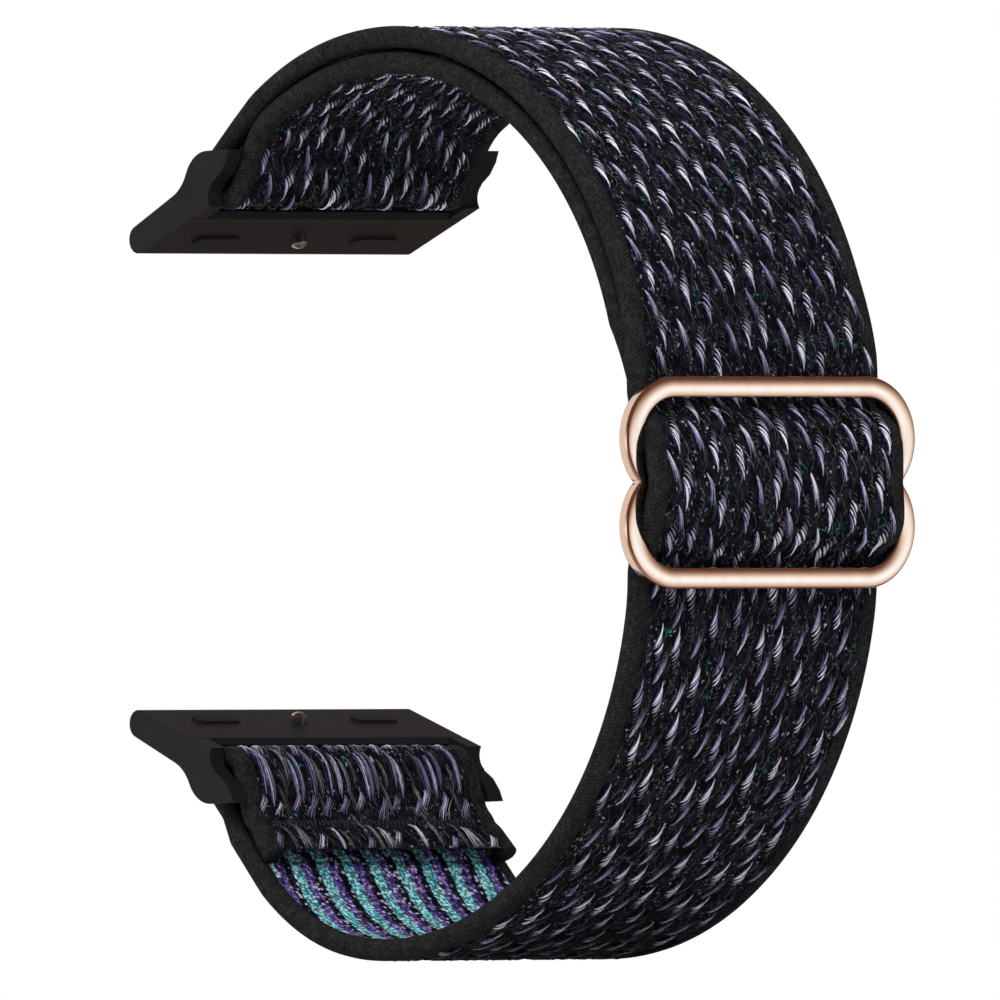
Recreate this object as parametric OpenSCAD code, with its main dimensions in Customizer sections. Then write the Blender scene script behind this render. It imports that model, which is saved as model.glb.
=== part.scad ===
// Elastic nylon watch strap, closed in the loop that it takes round a wrist.
// One length of webbing starts at a sewn fold on the lower adapter, runs up behind the slider's
// lower bar, over its middle bar and behind its upper bar, goes over the top to the upper adapter,
// turns freely round that adapter's bar and comes back inside the loop to a second sewn fold
// on the slider's middle bar.
// X points from the watch to the slider, Y along the width of the webbing, and Z up.
// The origin lies at the middle of the wrist opening, level with the slider's middle bar.

/* [Webbing] */
// Width of the webbing over its rolled edges
web_w = 24; // [20:0.5:26]
// Thickness of the woven body
web_t = 1.5; // [1.2:0.1:1.8]
// Thickness of the rolled edges
edge_t = 1.8; // [1.6:0.1:2]
// Gap between two layers that lie one on the other
layer_gap = 0.2; // [0.1:0.05:0.4]
// Gap between the two layers of a sewn fold
sewn_gap = 0.1; // [0.05:0.05:0.2]
// Gap between a bar and the webbing that turns round it
fold_play = 0.1; // [0.05:0.05:0.2]

/* [Loop] */
// From the origin to the middle of the outer layer on the far side
far_x = 27.35; // [26.35:0.25:28.85]
// From the origin to the highest point of the outer layer's middle
loop_up = 35.1; // [34.6:0.1:36]
// From the origin to the lowest point of the layer's middle
loop_down = 36.85; // [36.35:0.25:37.85]
// Bend of the outer layer above the slider
upper_flank_r = 19.5; // [18:0.5:21]
// Angle of the bend above the slider
upper_flank_angle = 18; // [15:1:21]
// Bend of the outer layer where it dives to the upper adapter
upper_shoulder_r = 8.5; // [7.5:0.5:10]
// Straight lead of the inner layer off the upper bar
upper_lead = 3.8; // [2:0.2:5]
// Bend of the layer below the slider
lower_flank_r = 17; // [15:0.5:19]
// Angle of the bend below the slider
lower_flank_angle = 11; // [9:0.5:13]
// Bend of the layer where it rises to the lower adapter
lower_shoulder_r = 18.3; // [17.3:0.25:19.3]
// Straight lead of the layer off the lower bar
lower_lead = 9.5; // [9.25:0.25:11]

/* [Adapters] */
// From the origin back to the upper adapter's bar
upper_bar_back = 24.6; // [23.5:0.1:25]
// From the origin back to the lower adapter's bar
lower_bar_back = 24.2; // [23.5:0.1:25]
// Height of the upper bar above the origin
upper_bar_z = 24.3; // [23.8:0.1:24.8]
// Depth of the lower bar below the origin
lower_bar_z = 23.5; // [23:0.1:24.5]
// Tilt of each adapter about its bar
adapter_tilt = 2.2; // [0:0.2:4]
// Diameter of the spring bar's tube
bar_d = 1.6; // [1.5:0.1:1.8]
// Side gap between the webbing and an ear
ear_play = 0.3; // [0.2:0.1:0.6]
// Thickness of an ear
ear_t = 1.4; // [1.2:0.1:2]
// Radius of the ear's round back
ear_r = 2.95; // [2.8:0.05:3.2]
// From the bar forward to the middle of the round back
ear_ahead = 0.4; // [0:0.1:0.6]
// Length of the ear's flat edge in front of the round back
ear_edge = 2.9; // [2.7:0.1:3.3]
// Radius of the hollow in the ear's inner edge
ear_hollow_r = 1.3; // [1.1:0.1:1.4]
// From the bar to the middle of the tongue's round tip
tongue_reach = 8.6; // [8:0.1:9.2]
// From the bar down to the middle of the tongue's round tip
tongue_drop = 4.7; // [4.4:0.1:5]
// Thickness of the tongue at its tip
tongue_tip_t = 2.2; // [2:0.1:2.6]
// Slope of the tongue's outer face
tongue_outer_slope = 24; // [23:0.5:27]
// Slope of the tongue's inner face
tongue_inner_slope = 20; // [18:0.2:21]
// Radius between the tongue and the ear's round back
neck_r = 3.5; // [2.5:0.1:5]
// Gap between the folded webbing and the hollow behind it
trough_play = 0.3; // [0.2:0.05:0.5]

/* [Spring bars] */
// Diameter of the bore in the tube
tube_bore = 1.1; // [1:0.05:1.2]
// Length of the narrowed end of the tube
tube_neck = 0.4; // [0.3:0.05:0.6]
// Diameter of a tip's stem
tip_d = 0.76; // [0.6:0.02:0.8]
// Length of a tip's head inside the tube
tip_head = 1.2; // [0.8:0.1:2]
// Depth of a tip in its ear
tip_grip = 0.95; // [0.7:0.05:1.1]
// Radial running gap of the small sliding pieces
run_gap = 0.05; // [0.03:0.01:0.08]
// Wire of the bar's spring
bar_wire = 0.2; // [0.15:0.01:0.24]
// Turns of the bar's spring
bar_turns = 20; // [12:1:24]

/* [Lock] */
// Diameter of the lock nub
nub_d = 1.25; // [1:0.05:1.4]
// Reach of the nub out of the tongue
nub_out = 0.8; // [0.5:0.05:0.9]
// Diameter of the nub's flange
nub_flange_d = 1.9; // [1.8:0.05:2.1]
// Thickness of the flange
nub_flange_t = 0.45; // [0.3:0.05:0.5]
// Thickness of the lip that holds the nub in
nub_lip = 0.35; // [0.25:0.05:0.4]
// Depth of the nub's bore
nub_bore = 1.95; // [1.85:0.05:2.05]
// From the tip's middle to the nub along the tongue
nub_from_tip = 3; // [2.6:0.1:3.2]
// Wire of the nub's spring
nub_wire = 0.16; // [0.12:0.01:0.2]
// Length of a pad over its round ends
pad_l = 4.4; // [3:0.1:6]
// Width of a pad
pad_w = 1.5; // [1.2:0.1:1.7]
// Depth of a pad's pocket
pad_pocket = 0.7; // [0.5:0.05:0.8]
// Height of a pad above the tongue
pad_proud = 0.2; // [0.1:0.05:0.3]
// From an end of the tongue to the middle of a pad
pad_from_end = 5.7; // [4.5:0.1:7]

/* [Slider] */
// Height of the slider over its bars
slider_h = 16.65; // [16:0.05:17.5]
// Height of each of its two rings
ring_h = 9.8; // [9.4:0.1:10.2]
// Width of the polished frame seen from the front
wire = 1.7; // [1.5:0.05:1.8]
// Thickness of the frame from front to back
wire_depth = 1.3; // [1.2:0.05:1.6]
// Radius of the frame's domed front
dome_r = 3; // [2.5:0.25:6]
// Radius of the frame's soft corners
wire_corner = 0.35; // [0.2:0.05:0.5]
// Side gap between the webbing and the ring
slider_play = 0.9; // [0.7:0.05:1.2]
// Gap between the outer layer and the back of the frame
slider_gap = 0.3; // [0.25:0.05:0.5]
// Gap between the front of the frame and the hump of webbing
hump_gap = 0.15; // [0.1:0.05:0.3]
// Bend of the hump over the middle bar
hump_r = 6.6; // [6.4:0.1:7]
// Bend at the foot of the hump
hump_foot_r = 2.8; // [2.6:0.1:3]
// Thickness of the middle bar
mid_bar_d = 1.2; // [1:0.05:1.3]
// Thickness of the legs that carry the middle bar
leg_d = 1.2; // [1.1:0.05:1.3]
// From the middle of the frame's waist in to the legs
leg_inset = 0.7; // [0.4:0.05:0.75]
// Side gap between the legs and the narrowed fold
leg_play = 0.35; // [0.25:0.05:0.6]

/* [Sewn folds] */
// Length of the tail of the lower fold
lower_tail = 8.6; // [7.5:0.1:9.2]
// From the lower bar to the seam
lower_seam_at = 5.6; // [5.4:0.1:6.5]
// Angle at which the lower tail comes back to the layer
lower_tail_angle = 25; // [22:1:28]
// Length of the tail of the slider's fold
slider_tail = 4.3; // [4.1:0.05:4.4]
// From the middle bar to the slider's seam
slider_seam_at = 3.7; // [3.6:0.05:3.8]
// Angle at which the slider's tail comes back to the layer
slider_tail_angle = 35; // [33:1:38]
// Width of a seam
seam_w = 0.8; // [0.5:0.1:1]
// Thickness of the thread on a face
seam_t = 0.12; // [0.08:0.01:0.14]
// Webbing on each side of the slider that moves with it
held_past = 0.9; // [0.5:0.1:1.5]
// Webbing that stretches or slackens when the slider is moved
slack_l = 13; // [10:0.5:15]

/* [Hidden] */
$fn = 48;
arc_fn = 160;
section_fn = 24;
// A length that carries a cut past the face that it opens
past = 0.5;
// Every second stretch of webbing or wire is thicker by a hair all round and laps over the
// ends of its neighbours, so that the stretches grow into one solid
hair = 0.01;
lap = 0.06;

// Radius of the webbing's middle round a bar, and the step from one layer to the next
wrap_r = bar_d / 2 + fold_play + edge_t / 2;
mid_wrap_r = mid_bar_d / 2 + fold_play + edge_t / 2;
pitch = edge_t + layer_gap;
sewn_pitch = edge_t + sewn_gap;

// The slider and the hump, seen along Y
inner_x = far_x - pitch;
wire_x = far_x + edge_t / 2 + slider_gap + wire_depth / 2;
mid_bar_x = inner_x + mid_wrap_r;
hump_x = wire_x + wire_depth / 2 + hump_gap + edge_t / 2;
hump_rise = hump_x - far_x;
hump_angle = acos(1 - hump_rise / (hump_r + hump_foot_r));
hump_half = (hump_r + hump_foot_r) * sin(hump_angle);

// The slider, seen along X
slider_w = web_w + 2 * slider_play + 2 * wire;
ring_z = (slider_h - ring_h) / 2;
ring_r = (ring_h - wire) / 2;
ring_y = slider_w / 2 - ring_h / 2;
waist_angle = asin(ring_z / ring_r);
waist_past = 12;
leg_y = ring_y + ring_r * cos(waist_angle) - leg_inset;
narrow_w = 2 * (leg_y - leg_d / 2 - leg_play);

// The loop is built from arcs that meet in line. Each half is worked out as if it rose from
// the slider to a bar at [x, z], and the lower half is mirrored afterwards.
function polar(r, a) = [r * cos(a), r * sin(a)];
function angle_of(v) = atan2(v[1], v[0]);

// Radius of the crown that reaches a height after the flank's bend
function crown_r(top, flank_r, flank_a) =
  (top - hump_half - flank_r * sin(flank_a)) / (1 - sin(flank_a));

// Centres of the flank, the crown and the shoulder
function flank_c(flank_r) = [far_x - flank_r, hump_half];
function crown_c(flank_r, flank_a, r) = flank_c(flank_r) + polar(flank_r - r, flank_a);

// Angle where the crown hands over to the shoulder, for a lead of a known length off the bar
function shoulder_a(crown, r, shoulder_r, bar, off, lead) =
  let (
    to_bar = bar - crown,
    far = norm(to_bar),
    arm = r - shoulder_r,
    near = sqrt(pow(off, 2) + pow(lead, 2))
  )
  angle_of(to_bar) - acos((pow(far, 2) + pow(arm, 2) - pow(near, 2)) / (2 * far * arm));

// Angle of the straight that leaves the shoulder and passes the bar at a distance
function lead_a(shoulder, bar, off) =
  angle_of(bar - shoulder) - acos(off / norm(bar - shoulder));
function lead_l(shoulder, bar, off) =
  sqrt(pow(norm(bar - shoulder), 2) - pow(off, 2));

upper_bar = [-upper_bar_back, upper_bar_z];
upper_crown_r = crown_r(loop_up, upper_flank_r, upper_flank_angle);
upper_flank_c = flank_c(upper_flank_r);
upper_crown_c = crown_c(upper_flank_r, upper_flank_angle, upper_crown_r);
inner_off = upper_shoulder_r - pitch + wrap_r;
outer_off = upper_shoulder_r - wrap_r;
upper_shoulder_a = shoulder_a(upper_crown_c, upper_crown_r, upper_shoulder_r, upper_bar,
  inner_off, upper_lead);
upper_shoulder_c = upper_crown_c + polar(upper_crown_r - upper_shoulder_r, upper_shoulder_a);
outer_lead_a = lead_a(upper_shoulder_c, upper_bar, outer_off);
outer_lead_l = lead_l(upper_shoulder_c, upper_bar, outer_off);
inner_lead_a = lead_a(upper_shoulder_c, upper_bar, inner_off);

lower_bar = [-lower_bar_back, lower_bar_z];
lower_crown_r = crown_r(loop_down, lower_flank_r, lower_flank_angle);
lower_flank_c = flank_c(lower_flank_r);
lower_crown_c = crown_c(lower_flank_r, lower_flank_angle, lower_crown_r);
lower_off = lower_shoulder_r - wrap_r;
lower_shoulder_a = shoulder_a(lower_crown_c, lower_crown_r, lower_shoulder_r, lower_bar,
  lower_off, lower_lead);
lower_shoulder_c = lower_crown_c + polar(lower_crown_r - lower_shoulder_r, lower_shoulder_a);
lower_lead_a = lead_a(lower_shoulder_c, lower_bar, lower_off);

// Angles where the pieces that move with the slider end and where the slack ends
held_z = slider_h / 2 + held_past;
function held_a(flank_r) = asin((held_z - hump_half) / flank_r);
function slack_a(flank_r, flank_a, r, used) =
  flank_a + (slack_l - used - flank_r * (flank_a - held_a(flank_r)) * PI / 180) * 180 / PI / r;
upper_slack_a = slack_a(upper_flank_r, upper_flank_angle, upper_crown_r, 0);
lower_slack_a = slack_a(lower_flank_r, lower_flank_angle, lower_crown_r, 0);
inner_held_z = slider_tail + 0.3;

// How much of each lead belongs to the upper fold
fold_lead = upper_lead / 2;

// The tongue and the ears, seen along Y with the bar at the origin
tip_c = [-tongue_reach, -tongue_drop];
tip_r = tongue_tip_t / 2;
outer_along = polar(1, tongue_outer_slope);
outer_normal = polar(1, tongue_outer_slope + 90);
inner_along = polar(1, tongue_inner_slope);
inner_normal = polar(1, tongue_inner_slope - 90);
outer_start = tip_c + tip_r * outer_normal;
inner_start = tip_c + tip_r * inner_normal;
ear_c = [ear_ahead, 1.95 - ear_r];
ear_top = ear_c[1] + ear_r;
ear_s = (ear_c - outer_start) * outer_along;
ear_h = (ear_c - outer_start) * outer_normal;
neck_s = ear_s - sqrt(pow(ear_r + neck_r, 2) - pow(neck_r - ear_h, 2));
neck_foot = outer_start + neck_s * outer_along;
neck_c = neck_foot + neck_r * outer_normal;
neck_head = ear_c + ear_r * (neck_c - ear_c) / norm(neck_c - ear_c);
hollow_c = [ear_hollow_r + 0.45, -ear_hollow_r - 0.45];
trough_r = wrap_r + edge_t / 2 + trough_play;
inner_reach = 14;

// The spring bars, along Y
ear_in = web_w / 2 + ear_play;
ear_out = ear_in + ear_t;
tube_half = ear_in - ear_play / 2;
tip_stop = tube_half - tube_neck - run_gap / 2;
spring_half = tip_stop - tip_head;
tip_hole = tip_grip + 0.1;
pad_y = ear_out - pad_from_end;

// The lock and the pads sit square to the tongue's inner face
nub_foot = inner_start + nub_from_tip * inner_along;
pad_foot = inner_start + (nub_from_tip - 0.5) * inner_along;
nub_spring_l = nub_bore - nub_lip - nub_flange_t - run_gap;

charcoal = [0.13, 0.13, 0.15];
nylon = [0.16, 0.14, 0.2];
thread = [0.08, 0.08, 0.08];
rose_gold = [0.85, 0.62, 0.5];
steel = [0.72, 0.73, 0.75];
rubber = [0.2, 0.2, 0.2];

// Turns a drawing in X and Z, with its own Z along -Y, into place
module side_view() {
  rotate([90, 0, 0]) children();
}

// Puts the lower half in place of the upper one
module lower_half() {
  mirror([0, 0, 1]) children();
}

// The webbing's own section: a flat body between two rolled edges
module web_section(w, more) {
  square([web_t + 2 * more, w - edge_t], center = true);
  for (side = [-1, 1]) {
    translate([0, side * (w - edge_t) / 2]) circle(d = edge_t + 2 * more, $fn = section_fn);
  }
}

// Webbing bent about a centre, from one angle to another. The flags say at which ends it
// laps over a neighbour.
module web_bend(c, r, from, to, laps = [0, 0], w = web_w) {
  start = from - laps[0] * lap / r * 180 / PI;
  end = to + laps[1] * lap / r * 180 / PI;
  side_view() translate([c[0], c[1], 0]) rotate(start)
    rotate_extrude(angle = end - start, $fn = arc_fn)
      translate([r, 0]) web_section(w, max(laps) * hair);
}

// Straight webbing that touches the circle r about c at an angle, from one distance along
// the tangent to another
module web_straight(c, r, a, from, to, laps = [0, 0], w = web_w) {
  start = from - laps[0] * lap;
  end = to + laps[1] * lap;
  side_view() translate([c[0], c[1], 0]) rotate(a) translate([r, end, 0])
    rotate([90, 0, 0]) linear_extrude(end - start) web_section(w, max(laps) * hair);
}

// A fold round a bar at the origin. The standing leg rises from the left side of the bar,
// and the tail comes back beside it.
function tail_turn_r() = edge_t + 0.2;
function tail_slant(r, a) =
  (r * cos(a) + r - sewn_pitch - tail_turn_r() * (1 - cos(a))) / sin(a);
function tail_level(r, a) =
  r * sin(a) + tail_slant(r, a) * cos(a) + tail_turn_r() * sin(a);

module sewn_fold(r, a, leg, tail, w) {
  slant = tail_slant(r, a);
  turn_c = polar(r, a) + polar(slant, a + 90) + polar(tail_turn_r(), a);
  union() {
    web_straight([0, 0], r, 180, -leg, 0, [0, 1], w);
    web_bend([0, 0], r, 180, 360 + a, [0, 0], w);
    web_straight([0, 0], r, a, 0, slant, [1, 1], w);
    web_bend(turn_c, tail_turn_r(), 180, 180 + a, [0, 0], w);
    web_straight([0, 0], sewn_pitch - r, 0, tail_level(r, a), tail, [1, 0], w);
  }
}

// The band of thread on both faces of a sewn fold
module fold_seam(r, at, w) {
  length = w - 2 * edge_t;
  face = web_t / 2 + hair;
  for (x = [-r - face - seam_t, sewn_pitch - r + face]) {
    translate([x, -length / 2, at - seam_w / 2]) cube([seam_t, length, seam_w]);
  }
}

module at_lower_fold() {
  lower_half() translate([lower_bar[0], 0, lower_bar[1]]) rotate([0, 180 - lower_lead_a, 0])
    children();
}

module at_slider_fold() {
  translate([mid_bar_x, 0, 0]) children();
}

module webbing_lower_fold() {
  color(nylon) at_lower_fold()
    sewn_fold(wrap_r, lower_tail_angle, lower_lead, lower_tail, web_w);
}

module webbing_lower_run() {
  color(nylon) lower_half() union() {
    web_bend(lower_shoulder_c, lower_shoulder_r, lower_shoulder_a, lower_lead_a);
    web_bend(lower_crown_c, lower_crown_r, lower_slack_a, lower_shoulder_a, [0, 1]);
  }
}

module webbing_lower_slack() {
  color(nylon) lower_half() union() {
    web_bend(lower_flank_c, lower_flank_r, held_a(lower_flank_r), lower_flank_angle);
    web_bend(lower_crown_c, lower_crown_r, lower_flank_angle, lower_slack_a, [1, 0]);
  }
}

// The foot of the hump and the webbing beside it that the slider holds
module hump_side(flank_r) {
  web_bend([far_x + hump_foot_r, hump_half], hump_foot_r, 180, 180 + hump_angle, [1, 1]);
  web_bend(flank_c(flank_r), flank_r, 0, held_a(flank_r));
}

module webbing_slider_hump() {
  color(nylon) union() {
    web_bend([hump_x - hump_r, 0], hump_r, -hump_angle, hump_angle);
    hump_side(upper_flank_r);
    lower_half() hump_side(lower_flank_r);
  }
}

module webbing_upper_slack() {
  color(nylon) union() {
    web_bend(upper_flank_c, upper_flank_r, held_a(upper_flank_r), upper_flank_angle);
    web_bend(upper_crown_c, upper_crown_r, upper_flank_angle, upper_slack_a, [1, 0]);
  }
}

module webbing_outer_run() {
  color(nylon) union() {
    web_bend(upper_crown_c, upper_crown_r, upper_slack_a, upper_shoulder_a, [0, 1]);
    web_bend(upper_shoulder_c, upper_shoulder_r, upper_shoulder_a, outer_lead_a);
    web_straight(upper_shoulder_c, upper_shoulder_r, outer_lead_a, 0,
      outer_lead_l - fold_lead, [1, 0]);
  }
}

module webbing_upper_fold() {
  color(nylon) union() {
    web_straight(upper_bar, wrap_r, outer_lead_a, -fold_lead, 0, [0, 1]);
    web_bend(upper_bar, wrap_r, outer_lead_a, inner_lead_a + 180);
    web_straight(upper_bar, wrap_r, inner_lead_a + 180, 0, fold_lead, [1, 0]);
  }
}

module webbing_inner_run() {
  color(nylon) union() {
    web_straight(upper_shoulder_c, upper_shoulder_r - pitch, inner_lead_a, 0,
      upper_lead - fold_lead, [1, 0]);
    web_bend(upper_shoulder_c, upper_shoulder_r - pitch, upper_shoulder_a, inner_lead_a);
    web_bend(upper_crown_c, upper_crown_r - pitch, upper_slack_a, upper_shoulder_a, [0, 1]);
  }
}

module webbing_inner_slack() {
  color(nylon) union() {
    web_bend(upper_crown_c, upper_crown_r - pitch, upper_flank_angle, upper_slack_a, [1, 0]);
    web_bend(upper_flank_c, upper_flank_r - pitch, 0, upper_flank_angle);
    web_straight([0, 0], inner_x, 0, inner_held_z, hump_half, [0, 1]);
  }
}

module webbing_slider_fold() {
  color(nylon) at_slider_fold()
    sewn_fold(mid_wrap_r, slider_tail_angle, inner_held_z, slider_tail, narrow_w);
}

module lower_fold_seam() {
  color(thread) at_lower_fold() fold_seam(wrap_r, lower_seam_at, web_w);
}

module slider_fold_seam() {
  color(thread) at_slider_fold() fold_seam(mid_wrap_r, slider_seam_at, narrow_w);
}

// Section of the slider's frame: its width along X and its depth along Y, with soft corners
// and a domed front
module wire_section(more) {
  flat = [wire - 2 * wire_corner, wire_depth - 2 * wire_corner];
  intersection() {
    union() {
      square([wire + 2 * more, flat[1]], center = true);
      square([flat[0], wire_depth + 2 * more], center = true);
      for (x = [-flat[0] / 2, flat[0] / 2], y = [-flat[1] / 2, flat[1] / 2]) {
        translate([x, y]) circle(r = wire_corner + more, $fn = section_fn);
      }
    }
    translate([0, wire_depth / 2 - dome_r]) circle(r = dome_r + more, $fn = arc_fn);
  }
}

// The upper ring's bar and round ends, drawn flat with Y to the right and Z up, and cut off
// halfway, where the lower ring meets it
module half_slider() {
  translate([-ring_y - lap, ring_z + ring_r, 0]) rotate([90, 0, 90])
    linear_extrude(2 * (ring_y + lap)) wire_section(hair);
  intersection() {
    for (side = [0, 1]) {
      mirror([side, 0, 0]) translate([ring_y, ring_z, 0]) rotate(-waist_angle - waist_past)
        rotate_extrude(angle = 90 + waist_angle + waist_past, $fn = 96)
          translate([ring_r, 0]) wire_section(0);
    }
    translate([-slider_w, 0, -wire]) cube([2 * slider_w, slider_h, 2 * wire]);
  }
}

module slider() {
  color(rose_gold) union() {
    translate([wire_x, 0, 0]) rotate([90, 0, 90]) {
      half_slider();
      mirror([0, 1, 0]) half_slider();
    }
    translate([mid_bar_x, -leg_y, 0]) rotate([-90, 0, 0])
      cylinder(d = mid_bar_d, h = 2 * leg_y);
    for (side = [-1, 1]) {
      translate([mid_bar_x, side * leg_y, 0]) {
        sphere(d = leg_d);
        rotate([0, 90, 0]) cylinder(d = leg_d, h = wire_x - mid_bar_x);
      }
    }
  }
}

// Everything of an adapter is drawn with its bar at the origin and the tongue down to the left
module at_upper_adapter() {
  translate([upper_bar[0], 0, upper_bar[1]]) rotate([0, -adapter_tilt, 0]) children();
}

module at_lower_adapter() {
  lower_half() translate([lower_bar[0], 0, lower_bar[1]]) rotate([0, adapter_tilt, 0])
    children();
}

// The tongue's wedge with its round tip and the sweep up to the ear's back
module tongue_profile() {
  difference() {
    union() {
      translate(tip_c) circle(r = tip_r);
      polygon([
        outer_start, neck_foot, neck_head, ear_c,
        inner_start + inner_reach / 2 * inner_along, inner_start
      ]);
      intersection() {
        translate(ear_c) circle(r = ear_r, $fn = 2 * $fn);
        polygon([
          neck_foot, neck_foot + ear_top * [0, 2], ear_c + [0, 2 * ear_top], ear_c,
          inner_start + inner_reach / 2 * inner_along, inner_start
        ]);
      }
    }
    translate(neck_c) circle(r = neck_r, $fn = 2 * $fn);
  }
}

module ear_profile() {
  difference() {
    union() {
      tongue_profile();
      intersection() {
        translate(ear_c) circle(r = ear_r, $fn = 2 * $fn);
        polygon([
          inner_start, inner_start + inner_reach * inner_along, [1, ear_top],
          [-ear_r, ear_top]
        ]);
        translate([-2 * ear_r, -2 * ear_r]) square([2 * ear_r + 1, 4 * ear_r]);
      }
      polygon([
        [ear_c[0], ear_top], [ear_c[0] + ear_edge, ear_top],
        [ear_c[0] + ear_edge - 0.4, ear_top - 0.9], [ear_c[0] + ear_edge - 1.2, 0.1],
        [1, -0.6], ear_c
      ]);
    }
    translate(hollow_c) circle(r = ear_hollow_r);
  }
}

// Sets its children on the tongue's inner face, with Z out of the face
module on_tongue(foot, y) {
  translate([foot[0], y, foot[1]]) rotate([0, 180 - tongue_inner_slope, 0]) children();
}

module pad_outline(gap) {
  width = pad_w + 2 * gap;
  square([width, pad_l - pad_w], center = true);
  for (side = [-1, 1]) {
    translate([0, side * (pad_l - pad_w) / 2]) circle(d = width);
  }
}

module adapter() {
  color(charcoal) difference() {
    union() {
      side_view() linear_extrude(2 * ear_out, center = true) difference() {
        tongue_profile();
        circle(r = trough_r, $fn = 2 * $fn);
      }
      for (side = [-1, 1]) {
        translate([0, side * (ear_in + ear_t / 2), 0]) side_view()
          linear_extrude(ear_t, center = true) ear_profile();
      }
    }
    for (side = [-1, 1]) {
      translate([0, side * (ear_in - past), 0]) rotate([-side * 90, 0, 0])
        cylinder(d = tip_d + 2 * run_gap, h = tip_hole + past);
      on_tongue(pad_foot, side * pad_y) translate([0, 0, -pad_pocket])
        linear_extrude(pad_pocket + past) pad_outline(run_gap);
    }
    on_tongue(nub_foot, 0) {
      translate([0, 0, -nub_lip - past]) cylinder(d = nub_d + 2 * run_gap, h = 2 * past + nub_lip);
      translate([0, 0, -nub_bore])
        cylinder(d = nub_flange_d + 2 * run_gap, h = nub_bore - nub_lip);
    }
  }
}

module bar_tube() {
  color(steel) rotate([-90, 0, 0]) rotate_extrude() for (side = [0, 1]) {
    mirror([0, side]) difference() {
      square([bar_d / 2, tube_half]);
      square([tube_bore / 2, tube_half - tube_neck]);
      square([tip_d / 2 + run_gap, tube_half + past]);
    }
  }
}

module bar_tip(side) {
  stem = tip_grip + ear_in - tip_stop;
  color(steel) rotate([-side * 90, 0, 0]) union() {
    translate([0, 0, spring_half]) cylinder(d = tube_bore - 2 * run_gap, h = tip_head);
    translate([0, 0, tip_stop]) cylinder(d = tip_d, h = stem);
  }
}

// A wire that climbs round Z as one unbroken tube, with a straight end at each side
rings = 8;
sides = 6;
function coil_point(r, wire, turns, length, i, last) =
  let (
    k = min(max(i - 1, 0), last - 2),
    a = k * 360 / rings,
    z = wire + (length - 2 * wire) * k / (last - 2),
    end = i == 0 ? -wire : i == last ? wire : 0
  )
  [r * cos(a), r * sin(a), z + end, a];

module coil(r, wire, turns, length) {
  last = turns * rings + 2;
  p = [for (i = [0:last]) coil_point(r, wire, turns, length, i, last)];
  gaps = [for (i = [0:last - rings]) abs(p[i + rings][2] - p[i][2]) > wire
    ? norm([for (j = [0:2]) p[i + rings][j] - p[i][j]]) - wire : 99];
  echo(least_gap_between_turns = min(gaps));
  points = [for (i = [0:last]) let (
      before = p[max(i - 1, 0)],
      after = p[min(i + 1, last)],
      step = [for (j = [0:2]) after[j] - before[j]],
      along = step / norm(step),
      flat = [cos(p[i][3]), sin(p[i][3]), 0],
      out = (flat - (flat * along) * along) / norm(flat - (flat * along) * along),
      up = cross(along, out)
    ) for (s = [0:sides - 1])
      [p[i][0], p[i][1], p[i][2]]
        + wire / 2 * (cos(s * 360 / sides) * out + sin(s * 360 / sides) * up)];
  wall = [for (i = [0:last - 1], s = [0:sides - 1]) let (
      a = i * sides + s,
      b = i * sides + (s + 1) % sides
    ) each [[a, a + sides, b], [b, a + sides, b + sides]]];
  ends = [for (s = [1:sides - 2]) each [
      [0, s, s + 1],
      [last * sides, last * sides + s + 1, last * sides + s]
    ]];
  polyhedron(points = points, faces = concat(wall, ends), convexity = 10);
}

module bar_spring() {
  color(steel) rotate([-90, 0, 0]) translate([0, 0, -spring_half])
    coil((tube_bore - bar_wire) / 2 - run_gap, bar_wire, bar_turns, 2 * spring_half);
}

module lock_nub() {
  color(steel) on_tongue(nub_foot, 0) {
    translate([0, 0, -nub_lip - run_gap - nub_flange_t])
      cylinder(d = nub_flange_d, h = nub_flange_t);
    translate([0, 0, -nub_lip - 2 * run_gap])
      cylinder(d = nub_d, h = nub_lip + 2 * run_gap + nub_out - nub_d / 4);
    intersection() {
      translate([0, 0, nub_out - nub_d * 0.625]) sphere(d = nub_d * 1.25);
      translate([0, 0, -nub_lip]) cylinder(d = nub_d, h = nub_lip + nub_out);
    }
  }
}

module lock_spring() {
  color(steel) on_tongue(nub_foot, 0) translate([0, 0, -nub_bore])
    coil((nub_flange_d - nub_wire) / 2 - 2 * run_gap, nub_wire, 1, nub_spring_l);
}

module tongue_pad(side) {
  color(rubber) on_tongue(pad_foot, side * pad_y) translate([0, 0, -pad_pocket])
    linear_extrude(pad_pocket + pad_proud) pad_outline(0);
}

module upper_adapter() { at_upper_adapter() adapter(); }
module upper_bar_tube() { at_upper_adapter() bar_tube(); }
module upper_bar_tip_left() { at_upper_adapter() bar_tip(-1); }
module upper_bar_tip_right() { at_upper_adapter() bar_tip(1); }
module upper_bar_spring() { at_upper_adapter() bar_spring(); }
module upper_lock_nub() { at_upper_adapter() lock_nub(); }
module upper_lock_spring() { at_upper_adapter() lock_spring(); }
module upper_pad_left() { at_upper_adapter() tongue_pad(-1); }
module upper_pad_right() { at_upper_adapter() tongue_pad(1); }

module lower_adapter() { at_lower_adapter() adapter(); }
module lower_bar_tube() { at_lower_adapter() bar_tube(); }
module lower_bar_tip_left() { at_lower_adapter() bar_tip(-1); }
module lower_bar_tip_right() { at_lower_adapter() bar_tip(1); }
module lower_bar_spring() { at_lower_adapter() bar_spring(); }
module lower_lock_nub() { at_lower_adapter() lock_nub(); }
module lower_lock_spring() { at_lower_adapter() lock_spring(); }
module lower_pad_left() { at_lower_adapter() tongue_pad(-1); }
module lower_pad_right() { at_lower_adapter() tongue_pad(1); }

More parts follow.
